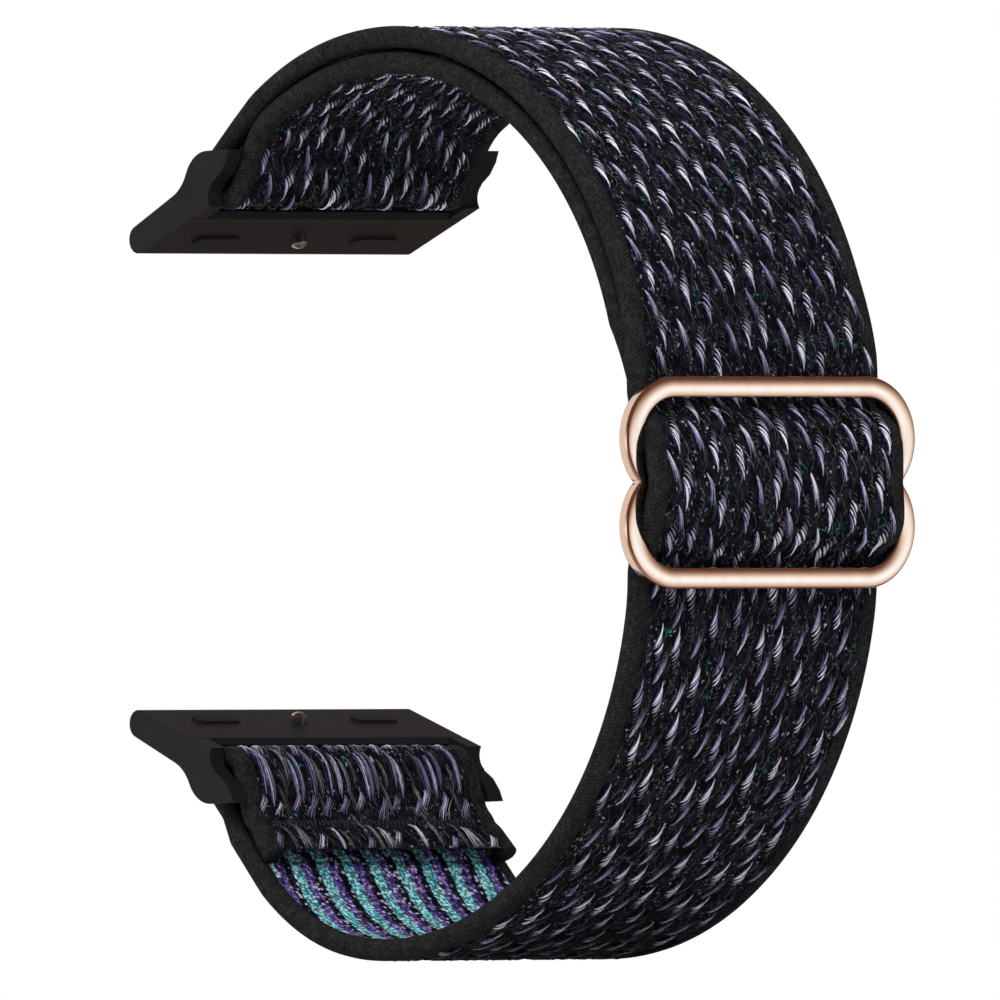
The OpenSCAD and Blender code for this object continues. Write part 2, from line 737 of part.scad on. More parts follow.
webbing_lower_fold();
webbing_lower_run();
webbing_lower_slack();
webbing_slider_hump();
webbing_upper_slack();
webbing_outer_run();
webbing_upper_fold();
webbing_inner_run();
webbing_inner_slack();
webbing_slider_fold();
lower_fold_seam();
slider_fold_seam();
slider();
upper_adapter();
upper_bar_tube();
upper_bar_tip_left();
upper_bar_tip_right();
upper_bar_spring();
upper_lock_nub();
upper_lock_spring();
upper_pad_left();
upper_pad_right();
lower_adapter();
lower_bar_tube();
lower_bar_tip_left();
lower_bar_tip_right();
lower_bar_spring();
lower_lock_nub();
lower_lock_spring();
lower_pad_left();
lower_pad_right();
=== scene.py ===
import itertools
import math

import bmesh
import bpy
import numpy as np
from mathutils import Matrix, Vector


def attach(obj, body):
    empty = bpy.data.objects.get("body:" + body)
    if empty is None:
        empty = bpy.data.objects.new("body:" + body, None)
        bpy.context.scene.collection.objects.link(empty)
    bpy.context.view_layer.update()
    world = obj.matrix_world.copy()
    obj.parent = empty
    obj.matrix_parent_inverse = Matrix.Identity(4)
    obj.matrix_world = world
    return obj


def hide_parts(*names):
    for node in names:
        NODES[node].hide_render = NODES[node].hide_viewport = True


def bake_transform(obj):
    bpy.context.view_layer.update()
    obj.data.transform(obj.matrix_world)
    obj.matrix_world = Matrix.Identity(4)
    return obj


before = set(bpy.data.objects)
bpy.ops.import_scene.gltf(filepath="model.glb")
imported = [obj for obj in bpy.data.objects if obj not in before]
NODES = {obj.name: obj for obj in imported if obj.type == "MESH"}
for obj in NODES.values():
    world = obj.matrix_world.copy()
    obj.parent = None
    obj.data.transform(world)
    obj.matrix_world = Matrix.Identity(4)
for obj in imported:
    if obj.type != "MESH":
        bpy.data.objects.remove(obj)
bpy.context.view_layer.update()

MM = 0.001
TAU = 2 * math.pi

# The strap's route
# Sizes in millimetres. X runs from the watch to the slider, Z up.

EDGE_T = 1.8
HALF_W = 12.0
NARROW_HALF_W = 10.211
PITCH = 2.0
FAR_X = 27.35
HUMP_HALF = 7.35782
HUMP_ANGLE = 51.5128
HUMP_R, HUMP_FOOT_R = 6.6, 2.8
HELD_Z = 9.225
UPPER = dict(flank=19.5, flank_a=18.0, crown=31.4282, shoulder=8.5, shoulder_a=121.694)
LOWER = dict(flank=17.0, flank_a=11.0, crown=32.4379, shoulder=18.3, shoulder_a=94.1415)
OUTER_LEAD_A, OUTER_LEAD = 130.177, 6.2
INNER_LEAD_A, INNER_LEAD = 148.357, 3.8
LOWER_LEAD_A, LOWER_LEAD = 134.884, 9.5
WRAP_R, MID_WRAP_R, TURN_R = 1.8, 1.6, 2.0
# Each sewn fold: its tail past the bar, where its seam lies on it, how far its slant and turn
# reach along it, and the slant with its angle
LOWER_TAIL, LOWER_SEAM_AT, LOWER_REACH = 8.6, 5.6, 4.4881
LOWER_SLANT, LOWER_SLANT_A = 3.1801, 25
MID_TAIL, MID_SEAM_AT, MID_REACH = 4.3, 3.7, 2.99167
MID_SLANT, MID_SLANT_A = 1.13141, 35
UPPER_SLACK_A, LOWER_SLACK_A = 33.9408, 31.5021
INNER_HELD_Z = 4.6


def straight(length):
    return length, 0.0


def bend(radius, degrees):
    """A bend to the left for positive degrees, and to the right for negative ones."""
    return radius * math.radians(abs(degrees)), math.copysign(1 / radius, degrees)


ROUTE = {
    "lower_tail": straight(LOWER_TAIL - LOWER_REACH),
    "lower_tail_turn": bend(TURN_R, -LOWER_SLANT_A),
    "lower_slant": straight(LOWER_SLANT),
    "lower_wrap": bend(WRAP_R, 180 + LOWER_SLANT_A),
    "lower_lead": straight(LOWER_LEAD),
    "lower_shoulder": bend(LOWER["shoulder"], LOWER_LEAD_A - LOWER["shoulder_a"]),
    "lower_crown": bend(LOWER["crown"], LOWER["shoulder_a"] - LOWER["flank_a"]),
    "lower_flank": bend(LOWER["flank"], LOWER["flank_a"]),
    "lower_foot": bend(HUMP_FOOT_R, -HUMP_ANGLE),
    "hump": bend(HUMP_R, 2 * HUMP_ANGLE),
    "upper_foot": bend(HUMP_FOOT_R, -HUMP_ANGLE),
    "upper_flank": bend(UPPER["flank"], UPPER["flank_a"]),
    "upper_crown": bend(UPPER["crown"], UPPER["shoulder_a"] - UPPER["flank_a"]),
    "upper_shoulder": bend(UPPER["shoulder"], OUTER_LEAD_A - UPPER["shoulder_a"]),
    "outer_lead": straight(OUTER_LEAD),
    "upper_wrap": bend(WRAP_R, INNER_LEAD_A + 180 - OUTER_LEAD_A),
    "inner_lead": straight(INNER_LEAD),
    "inner_shoulder": bend(UPPER["shoulder"] - PITCH, UPPER["shoulder_a"] - INNER_LEAD_A),
    "inner_crown": bend(UPPER["crown"] - PITCH, UPPER["flank_a"] - UPPER["shoulder_a"]),
    "inner_flank": bend(UPPER["flank"] - PITCH, -UPPER["flank_a"]),
    "inner_straight": straight(HUMP_HALF),
    "slider_wrap": bend(MID_WRAP_R, 180 + MID_SLANT_A),
    "slider_slant": straight(MID_SLANT),
    "slider_tail_turn": bend(TURN_R, -MID_SLANT_A),
    "slider_tail": straight(MID_TAIL - MID_REACH),
}


class Route:
    """The middle of the webbing from the tail of the lower fold to the tail of the slider's."""

    def __init__(self):
        lengths, self.curve = (np.array(values) for values in zip(*ROUTE.values()))
        self.start = np.concatenate([[0], np.cumsum(lengths)])[:-1]
        self.end = float(lengths.sum())
        turned = np.cumsum(lengths * self.curve)
        leg = list(ROUTE).index("lower_flank")
        # The webbing stands upright where the flank hands over to the hump.
        self.heading = np.concatenate([[0], turned])[:-1] + math.pi / 2 - turned[leg]
        self.x = np.zeros(len(lengths))
        self.z = np.zeros(len(lengths))
        for i in range(len(lengths) - 1):
            self.x[i + 1], self.z[i + 1], _ = self.along(i, lengths[i])
        at = leg + 1
        self.x += FAR_X - self.x[at]
        self.z += -HUMP_HALF - self.z[at]

    def along(self, i, d):
        """The place and the heading at a distance d into part i of the route."""
        a, k = self.heading[i], self.curve[i]
        b = a + k * d
        safe = np.where(k == 0, 1, k)
        x = np.where(k == 0, d * np.cos(a), (np.sin(b) - np.sin(a)) / safe)
        z = np.where(k == 0, d * np.sin(a), (np.cos(a) - np.cos(b)) / safe)
        return self.x[i] + x, self.z[i] + z, b

    def place(self, s, y, h):
        """Points in metres, h above the webbing's middle on the side of the floats."""
        i = np.clip(np.searchsorted(self.start, s, side="right") - 1, 0, None)
        x, z, a = self.along(i, s - self.start[i])
        return np.stack([x + h * np.sin(a), y, z - h * np.cos(a)], -1) * MM

    def at(self, name, share=0.0):
        """How far along the route a named part starts, or a share of the part past that."""
        i = list(ROUTE).index(name)
        ends = list(self.start) + [self.end]
        return ends[i] + share * (ends[i + 1] - ends[i])


route = Route()

held_rise = HELD_Z - HUMP_HALF
held_up = route.at("upper_flank") + UPPER["flank"] * math.asin(held_rise / UPPER["flank"])
held_down = route.at("lower_foot") - LOWER["flank"] * math.asin(held_rise / LOWER["flank"])
upper_slack_turn = math.radians(UPPER_SLACK_A - UPPER["flank_a"])
lower_slack_turn = math.radians(LOWER_SLACK_A - LOWER["flank_a"])
upper_slack_end = route.at("upper_crown") + UPPER["crown"] * upper_slack_turn
lower_slack_end = route.at("lower_flank") - LOWER["crown"] * lower_slack_turn
inner_slack_start = route.at("inner_flank") - (UPPER["crown"] - PITCH) * upper_slack_turn
inner_held = route.at("slider_wrap") - INNER_HELD_Z
upper_fold_start = route.at("upper_wrap") - INNER_LEAD / 2
upper_fold_end = route.at("inner_lead") + INNER_LEAD / 2
LOWER_SEAM = LOWER_TAIL - LOWER_SEAM_AT
SLIDER_SEAM = route.end - (MID_TAIL - MID_SEAM_AT)
HUMP_MIDDLE = route.at("hump", 0.5)

# Each stretch of webbing: where it starts and ends along the route, and the nodes that it is
STRETCHES = {
    "strap_lower_fold": (0.0, route.at("lower_shoulder"), ["webbing_lower_fold"]),
    "strap_lower_run": (route.at("lower_shoulder"), lower_slack_end, ["webbing_lower_run"]),
    "strap_lower_slack": (lower_slack_end, held_down, ["webbing_lower_slack"]),
    "strap_hump": (held_down, held_up, ["webbing_slider_hump"]),
    "strap_upper_slack": (held_up, upper_slack_end, ["webbing_upper_slack"]),
    "strap_outer_run": (upper_slack_end, upper_fold_start, ["webbing_outer_run"]),
    "strap_upper_fold": (upper_fold_start, upper_fold_end, ["webbing_upper_fold"]),
    "strap_inner_run": (upper_fold_end, inner_slack_start, ["webbing_inner_run"]),
    "strap_inner_slack": (inner_slack_start, inner_held, ["webbing_inner_slack"]),
    "strap_slider_fold": (inner_held, route.end, ["webbing_slider_fold"]),
}


def smooth(x):
    """Goes smoothly from 0 to 1 while x does."""
    x = np.clip(x, 0, 1)
    return x * x * (3 - 2 * x)


# Half of the webbing's width along the route: it is pressed between the ears and spreads where
# it is free, and it is drawn in where it passes between the legs of the slider's middle bar
HUMP_SHARES = (0.06, 0.12, 0.25, 0.36, 0.5, 0.64, 0.75, 0.88, 0.97)
HUMP_HALVES = (12.4, 12.95, 13.05, 12.9, 12.62, 12.8, 12.9, 12.75, 12.4)
WIDTHS = [
    (0.0, 12.7),
    (route.at("lower_wrap") - 2.2, 12.15),
    (route.at("lower_lead") + 2.0, 12.1),
    (route.at("lower_lead") + 4.8, 12.9),
    (route.at("lower_shoulder") + 1.0, 12.95),
    (route.at("lower_shoulder") + 12.0, 12.2),
    *((route.at("hump", share), half) for share, half in zip(HUMP_SHARES, HUMP_HALVES)),
    (route.at("upper_flank") + 2.5, 12.5),
    (route.at("upper_flank") + 9.0, 12.15),
    (route.at("outer_lead", 0.4), 12.15),
    (route.at("upper_wrap"), 12.05),
    (route.at("inner_lead", 0.6), 12.05),
    (route.at("inner_shoulder") + 3.5, 12.4),
    (route.at("inner_crown") + 9.0, 12.15),
    (inner_held - 8.0, 12.0),
    (inner_held - 1.0, NARROW_HALF_W),
]


# How far the hump's middle stands out, and how far it is pushed to the left, each with the
# length that it takes to either side
CROWN_H, CROWN_REACH = 0.35, 6.5
HUMP_DRIFT, DRIFT_REACH = -0.5, 4.0


def half_width(s):
    return np.interp(s, *zip(*WIDTHS))


def crown(s, share):
    """How far the hump's face stands out in the middle, for a share of the half width."""
    rise = CROWN_H * smooth(1.15 - np.abs(s - HUMP_MIDDLE) / CROWN_REACH)
    return rise * (1 - np.clip(share, -1, 1) ** 2)


# Finishes


class Wire:
    """A node's output, which takes sums as a number does."""

    def __init__(self, graph, socket):
        self.graph, self.socket = graph, socket

    def maths(self, operation, *values):
        return self.graph.node(
            "ShaderNodeMath", {"operation": operation}, dict(enumerate(values))
        )

    def __add__(self, other):
        return self.maths("ADD", self, other)

    def __sub__(self, other):
        return self.maths("SUBTRACT", self, other)

    def __rsub__(self, other):
        return self.maths("SUBTRACT", other, self)

    def __mul__(self, other):
        return self.maths("MULTIPLY", self, other)

    def __truediv__(self, other):
        return self.maths("DIVIDE", self, other)

    __radd__ = __add__
    __rmul__ = __mul__

    def sine(self):
        return self.maths("SINE", self)

    def fraction(self):
        return self.maths("FRACT", self)

    def above(self, other):
        return self.maths("GREATER_THAN", self, other)

    def most(self, other):
        return self.maths("MAXIMUM", self, other)

    def fade(self, low, high, to_low=0.0, to_high=1.0):
        """Goes smoothly from to_low to to_high while this value goes from low to high."""
        return self.graph.node(
            "ShaderNodeMapRange",
            {"interpolation_type": "SMOOTHSTEP"},
            {0: self, 1: low, 2: high, 3: to_low, 4: to_high},
        )


def set_stops(ramp, stops, kind):
    ramp.interpolation = kind
    while len(ramp.elements) < len(stops):
        ramp.elements.new(0.5)
    for element, (position, colour) in zip(ramp.elements, stops):
        element.position = position
        element.color = (*colour, 1.0)


class Graph:
    """The nodes of a material or of the world."""

    def __init__(self, tree):
        self.tree = tree
        tree.nodes.clear()

    def put(self, socket, value):
        if isinstance(value, Wire):
            self.tree.links.new(value.socket, socket)
        elif isinstance(value, tuple) and len(value) == 3 and socket.type == "RGBA":
            socket.default_value = (*value, 1.0)
        else:
            socket.default_value = value

    def node(self, kind, settings=None, sockets=None, out=0):
        made = self.tree.nodes.new(kind)
        for name, value in (settings or {}).items():
            if name == "stops":
                set_stops(made.color_ramp, *value)
            else:
                setattr(made, name, value)
        for name, value in (sockets or {}).items():
            self.put(made.inputs[name], value)
        return Wire(self, made.outputs[out])

    def mix(self, factor, a, b):
        return self.node(
            "ShaderNodeMix", {"data_type": "RGBA"}, {0: factor, 6: a, 7: b}, out=2
        )

    def mix_shaders(self, factor, a, b):
        return self.node("ShaderNodeMixShader", None, {0: factor, 1: a, 2: b})

    def ramp(self, factor, stops, kind="LINEAR"):
        return self.node("ShaderNodeValToRGB", {"stops": (stops, kind)}, {0: factor})

    def part(self, vector, axis):
        return self.node("ShaderNodeSeparateXYZ", None, {0: vector}, out=axis)

    def rays(self, *kinds):
        """One for rays of these kinds, and nothing for others."""
        found, *others = (self.node("ShaderNodeLightPath", out=kind) for kind in kinds)
        for other in others:
            found = found.most(other)
        return found


class Finish(Graph):
    """One material: a Principled shader and what drives it."""

    def __init__(self, name, **constants):
        self.material = bpy.data.materials.new(name)
        self.material.use_nodes = True
        super().__init__(self.material.node_tree)
        self.shader = self.node("ShaderNodeBsdfPrincipled")
        self.surface = self.tree.nodes.new("ShaderNodeOutputMaterial").inputs[0]
        self.put(self.surface, self.shader)
        for socket, value in constants.items():
            self.drive(socket.replace("_", " "), value)

    def drive(self, socket, value):
        self.put(self.shader.socket.node.inputs[socket], value)

    def weave_place(self, x=1.0, y=1.0):
        """Along and across the webbing, in millimetres, each times a number."""
        uv = self.node("ShaderNodeUVMap", {"uv_map": "weave"})
        return self.node(
            "ShaderNodeVectorMath", {"operation": "MULTIPLY"}, {0: uv, 1: (x, y, 1.0)}
        )

    def noise(self, place, scale, detail, out=0):
        return self.node(
            "ShaderNodeTexNoise", None, {"Vector": place, "Scale": scale, "Detail": detail}, out
        )

    def cells(self, place, out=0):
        """The distance from a cell's middle, or with out=1 the cell's chance colour."""
        return self.node(
            "ShaderNodeTexVoronoi", {"feature": "F1"}, {"Vector": place, "Scale": 1.0}, out
        )

    def solid_place(self):
        return self.node("ShaderNodeTexCoord", out="Object")

    def solid_noise(self, scale, detail=3.0):
        return self.noise(self.solid_place(), scale, detail)

    def bump(self, height, strength, distance):
        looks = {"Height": height, "Strength": strength, "Distance": distance}
        self.drive("Normal", self.node("ShaderNodeBump", None, looks))


def linear(v):
    v /= 255
    return v / 12.92 if v <= 0.04045 else ((v + 0.055) / 1.055) ** 2.4


def rgb(*colour):
    """A colour written as it shows on a screen, 0 to 255."""
    return tuple(linear(v) for v in colour)


def shades(*stops):
    """Stops of a ramp, each its place and its colour as it shows on a screen."""
    return [(place, rgb(*colour)) for place, *colour in stops]


def ground_finish():
    """The dark ground between the floats, with its fine grey loops and a few teal ones."""
    f = Finish("webbing_ground", Specular_IOR_Level=0.05)
    place = f.weave_place()
    warp = f.noise(place, 1.7, 2.0, out=1)
    fine = f.node(
        "ShaderNodeVectorMath",
        {"operation": "MULTIPLY_ADD"},
        {0: warp, 1: (2.4, 2.4, 0.0), 2: f.weave_place(2.7, 3.4)},
    )
    loop = 1 - f.cells(fine).fade(0.16, 0.42)
    tint = f.cells(fine, out=1)
    chance = f.node("ShaderNodeSeparateColor", None, {0: tint})
    other = f.node("ShaderNodeSeparateColor", None, {0: tint}, out=1)
    wale = f.noise(f.weave_place(1.3, 8.0), 1.0, 2.0)
    base = f.ramp(
        wale * 0.55 + f.noise(place, 0.8, 3.0) * 0.45,
        shades((0.38, 6, 6, 8), (0.5, 18, 17, 23), (0.62, 42, 40, 49)),
    )
    dot = f.ramp(
        chance,
        shades(
            (0.0, 10, 10, 12),
            (0.36, 42, 41, 47),
            (0.58, 76, 74, 84),
            (0.78, 116, 113, 128),
            (0.93, 178, 174, 192),
        ),
        "CONSTANT",
    )
    teal = f.ramp(other, shades((0.0, 9, 26, 28), (0.6, 18, 62, 58), (0.96, 52, 150, 136)))
    patch = f.noise(place, 0.33, 1.0).above(0.6) * other.above(0.35)
    f.drive("Base Color", f.mix(loop, base, f.mix(patch, dot, teal)))
    f.drive("Roughness", 0.95 - loop * 0.15)
    f.bump(loop + wale * 0.4, 0.7, 0.15 * MM)
    return f


def yarn_finish():
    """The twisted yarn of the floats: silver, lavender and grey fibres."""
    f = Finish("webbing_floats", Specular_IOR_Level=0.2)
    # The tone attribute holds each strand's brightness with its painted light and shade, and the
    # hue attribute how grey it is.
    tone = f.node("ShaderNodeAttribute", {"attribute_name": "tone"}, out="Fac")
    hue = f.node("ShaderNodeAttribute", {"attribute_name": "hue"}, out="Fac")
    fibre = f.noise(f.weave_place(1.0, 7.0), 2.2, 3.0)
    level = tone + (fibre - 0.5) * 0.8
    violet = f.ramp(
        level,
        shades((0.0, 11, 9, 20), (0.3, 70, 60, 112), (0.6, 148, 142, 184), (0.95, 242, 240, 250)),
    )
    grey = f.ramp(
        level,
        shades((0.0, 11, 11, 10), (0.3, 68, 67, 60), (0.6, 138, 137, 138), (0.95, 236, 235, 240)),
    )
    f.drive("Base Color", f.mix(hue, violet, grey))
    f.drive("Roughness", 0.7 - level * 0.15)
    f.bump(fibre, 0.5, 0.05 * MM)
    return f


def selvage_finish():
    """The rolled edges: fine dark threads in short slanting loops."""
    f = Finish("webbing_edges", Specular_IOR_Level=0.05)
    place = f.weave_place()
    along, round_edge = (f.part(place, axis) for axis in "XY")
    thread = ((along * 3.0 + round_edge * 1.3) * TAU).sine() * 0.5 + 0.5
    loop = f.noise(f.weave_place(2.4, 3.6), 1.0, 2.0)
    patch = f.noise(place, 0.9, 3.0)
    level = thread * 0.1 + loop * 0.55 + patch * 0.37
    colour = f.ramp(level, shades((0.3, 15, 15, 16), (0.5, 31, 31, 32), (0.72, 49, 49, 50)))
    f.drive("Base Color", colour)
    f.drive("Roughness", 0.95 - thread * 0.1)
    f.bump(thread * 0.2 + loop, 0.5, 0.08 * MM)
    return f


def stripe_finish():
    """The inner face: slanting stripes of teal, purple and black in small dots."""
    f = Finish("webbing_stripes", Specular_IOR_Level=0.08)
    place = f.weave_place()
    along, across = (f.part(place, axis) for axis in "XY")
    wander = (f.noise(place, 2.6, 3.0) - 0.5) * 0.3
    band = ((across + along * 0.21) / 2.65 + wander).fraction()
    fine = f.weave_place(3.0, 3.4)
    stitch = 1 - f.cells(fine).fade(0.26, 0.68)
    chance = f.node("ShaderNodeSeparateColor", None, {0: f.cells(fine, out=1)})
    teal = f.mix(chance, rgb(78, 206, 220), rgb(200, 254, 255))
    violet = f.ramp(
        chance,
        shades(
            (0.0, 50, 38, 88), (0.16, 100, 78, 170), (0.5, 152, 130, 212), (0.86, 214, 198, 222)
        ),
        "CONSTANT",
    )
    black = f.ramp(
        chance, shades((0.0, 16, 15, 22), (0.56, 54, 48, 74), (0.82, 196, 190, 216)), "CONSTANT"
    )
    off, on = (0, 0, 0), (1, 1, 1)
    lit = f.ramp(band, [(0.0, off), (0.27, on), (0.66, off)], "CONSTANT")
    purple = f.ramp(band, [(0.0, off), (0.66, on)], "CONSTANT")
    colour = f.mix(purple, f.mix(lit, black, teal), violet)
    f.drive("Base Color", f.mix(stitch * 0.82 + 0.18, rgb(12, 14, 24), colour))
    f.drive("Roughness", 0.95 - stitch * 0.2)
    f.bump(stitch, 0.7, 0.12 * MM)
    return f


def thread_finish():
    f = Finish("sewing_thread", Specular_IOR_Level=0.1)
    lay = f.solid_noise(5200.0)
    f.drive("Base Color", f.ramp(lay, shades((0.3, 16, 16, 17), (0.75, 66, 64, 68))))
    f.drive("Roughness", 0.8 - lay * 0.2)
    f.bump(lay, 0.4, 0.03 * MM)
    return f


def rose_gold_finish():
    f = Finish("polished_rose_gold", Metallic=1.0)
    haze = f.solid_noise(900.0, 4.0)
    f.drive("Base Color", f.ramp(haze, shades((0.3, 245, 213, 196), (0.7, 250, 222, 208))))
    f.drive("Roughness", 0.08 + haze * 0.08)
    f.bump(haze, 0.04, 0.02 * MM)
    return f


def charcoal_finish():
    f = Finish("satin_charcoal_metal", Metallic=0.2, Specular_IOR_Level=0.12)
    grain = f.solid_noise(4200.0)
    cloud = f.solid_noise(240.0)
    tone = cloud * 0.7 + grain * 0.3
    f.drive("Base Color", f.ramp(tone, shades((0.3, 26, 27, 30), (0.7, 33, 34, 38))))
    f.drive("Roughness", 0.5 + grain * 0.16)
    f.bump(grain, 0.12, 0.02 * MM)
    return f


def steel_finish():
    f = Finish("bright_steel", Metallic=1.0)
    turned = f.node(
        "ShaderNodeVectorMath", {"operation": "MULTIPLY"}, {0: f.solid_place(), 1: (1.0, 14.0, 1.0)}
    )
    ring = f.noise(turned, 900.0, 3.0)
    f.drive("Base Color", f.ramp(ring, shades((0.3, 168, 168, 172), (0.7, 204, 204, 208))))
    f.drive("Roughness", 0.2 + ring * 0.15)
    f.bump(ring, 0.08, 0.02 * MM)
    return f


def rubber_finish():
    f = Finish("soft_black_pads", Specular_IOR_Level=0.3)
    grain = f.solid_noise(5200.0)
    f.drive("Base Color", f.ramp(grain, shades((0.3, 22, 22, 23), (0.7, 34, 34, 35))))
    f.drive("Roughness", 0.75 + grain * 0.15)
    f.bump(grain, 0.15, 0.02 * MM)
    return f


GROUND, YARN = ground_finish(), yarn_finish()
EDGES, STRIPES = selvage_finish(), stripe_finish()
THREAD, ROSE_GOLD = thread_finish(), rose_gold_finish()
CHARCOAL, STEEL, RUBBER = charcoal_finish(), steel_finish(), rubber_finish()

# Mesh making

# The flat map of each piece: the strip that a float takes, in mm of width, and the gap between
# strips as a share of the map
FLOAT_SHARE, MAP_GAP = 0.013, 0.003


class Sheaf:
    """Grids of points gathered into one mesh, each with its finish, places and tones."""

    def __init__(self, *finishes):
        self.finishes = finishes
        self.points, self.faces, self.worn = [], [], []
        self.places, self.tones, self.hues = [], [], []
        self.charts = []
        self.count = 0

    def chart(self, rows, columns, share, caps=0):
        """Lays quads out on a strip of the flat map. Each row of them runs up the strip."""
        u, v = rows[:, None], columns[None, :]
        low, high = u[:-1], u[1:]
        corners = [(low, v[:, :-1]), (low, v[:, 1:]), (high, v[:, 1:]), (high, v[:, :-1])]
        full = (len(rows) - 1, len(columns) - 1)
        quads = np.stack(
            [np.stack([np.broadcast_to(c, full) for c in pair], -1) for pair in corners], 2
        )
        ends = [np.stack([np.full(caps, e), np.linspace(0, 1, caps)], -1) for e in (0.0, 1.0)]
        self.charts.append((np.concatenate([quads.reshape(-1, 2), *ends]), share))

    def grid(self, points, finish, places, loop=False, caps=False):
        """points and places are rows by columns by 3 and 2. A loop closes each row."""
        rows, columns = points.shape[:2]
        wide = float(np.linalg.norm(np.diff(points[rows // 2], axis=0), axis=1).sum()) / MM
        across = np.linspace(0, 1, columns + 1 if loop else columns)
        self.chart(np.linspace(0, 1, rows), across, wide, columns if caps else 0)
        index = np.arange(rows * columns).reshape(rows, columns) + self.count
        right = np.roll(index, -1, 1) if loop else index[:, 1:]
        left = index if loop else index[:, :-1]
        faces = np.stack([left[:-1], right[:-1], right[1:], left[1:]], -1).reshape(-1, 4).tolist()
        if caps:
            faces += [index[0][::-1].tolist(), index[-1].tolist()]
        plain = np.zeros(rows * columns)
        self.add(finish, faces, points, places, plain, plain)

    def tubes(self, rings, finish, places, tone, hue):
        """rings is tubes by rings by sides by 3. Each tube is closed at both ends."""
        n, length, sides = rings.shape[:3]
        index = np.arange(n * length * sides).reshape(n, length, sides) + self.count
        right = np.roll(index, -1, 2)
        quads = np.stack(
            [index[:, :-1], right[:, :-1], right[:, 1:], index[:, 1:]], -1
        ).reshape(-1, 4)
        many = math.ceil(math.sqrt(3 * n))
        cell = np.stack([np.arange(n) % many, np.arange(n) // many], -1)[:, None, None, None]
        u, v = np.linspace(0.1, 0.9, length), np.linspace(0.1, 0.9, sides + 1)
        corners = [
            np.stack(np.broadcast_arrays(u[i : length - 1 + i, None], v[None, j : sides + j]), -1)
            for i, j in ((0, 0), (0, 1), (1, 1), (1, 0))
        ]
        body = (cell + np.stack(corners, 2)[None]).reshape(-1, 2)
        ends = [
            (cell[:, 0, 0] + np.stack([np.full(sides, e), v[:-1]], -1)[None]).reshape(-1, 2)
            for e in (0.1, 0.9)
        ]
        flat = np.concatenate([body, *ends]) / [many, math.ceil(n / many)]
        self.charts.append((flat, FLOAT_SHARE * n))
        faces = quads.tolist()
        faces += index[:, 0, ::-1].reshape(n, sides).tolist()
        faces += index[:, -1].reshape(n, sides).tolist()
        self.add(finish, faces, rings, places, tone, hue)

    def add(self, finish, faces, points, places, tones, hues):
        """Takes up points and the faces between them, which wear one finish."""
        self.faces.extend(faces)
        self.worn.extend([self.finishes.index(finish)] * len(faces))
        self.points.append(points.reshape(-1, 3))
        self.places.append(places.reshape(-1, 2))
        self.tones.append(tones.reshape(-1))
        self.hues.append(hues.reshape(-1))
        self.count += len(self.points[-1])

    def piece(self, name):
        mesh = bpy.data.meshes.new(name)
        points = np.concatenate(self.points)
        mesh.from_pydata(points.tolist(), [], self.faces)
        for finish in self.finishes:
            mesh.materials.append(finish.material)
        mesh.polygons.foreach_set("material_index", self.worn)
        mesh.polygons.foreach_set("use_smooth", [True] * len(self.faces))
        corners = np.empty(len(mesh.loops), dtype=np.int32)
        mesh.loops.foreach_get("vertex_index", corners)
        uv = mesh.uv_layers.new(name="weave")
        uv.data.foreach_set("uv", np.concatenate(self.places)[corners].ravel())
        whole, foot, flat = sum(share for _, share in self.charts), 0.0, []
        for places, share in self.charts:
            tall = share / whole
            gap = min(MAP_GAP, 0.2 * tall)
            flat.append(places * [1 - 2 * MAP_GAP, tall - 2 * gap] + [MAP_GAP, foot + gap])
            foot += tall
        mesh.uv_layers.new(name="OFBake").data.foreach_set("uv", np.concatenate(flat).ravel())
        # Each point's tone, which on the floats carries their painted light and shade, and its hue.
        for key, values in (("tone", self.tones), ("hue", self.hues)):
            layer = mesh.attributes.new(key, "FLOAT", "POINT")
            layer.data.foreach_set("value", np.concatenate(values))
        mesh.update()
        made = bpy.data.objects.new(name, mesh)
        bpy.context.scene.collection.objects.link(made)
        return made


# The webbing

# Heights over the webbing's middle, the edges' radius and how far a seam's dip reaches
GROUND_H, STRIPE_H, FLOAT_TOP = 0.6, -0.7, 0.95
EDGE_R = EDGE_T / 2
SEAM_HALF = 0.45

# The strands of each kind of float. Every strand is a curve from its first place to its
# fourth, drawn by the two between them, right and up in millimetres as the strap is seen above
# the slider, with its radius, its brightness at the top and at the bottom, and how grey it is.
# The change of brightness from top to bottom is painted light and shade along the strand, and
# the violet of the less grey strands is partly the yarn's own colour and partly painted shade.


def ply(start, end, radius, top, bottom, grey):
    """A strand that leaves its start slantwise and ends nearly upright."""
    (x, z), run, drop = start, end[0] - start[0], end[1] - start[1]
    knees = (x + 0.38 * run, z + 0.31 * drop), (x + 0.76 * run, z + 0.65 * drop)
    return start, *knees, end, radius, top, bottom, grey


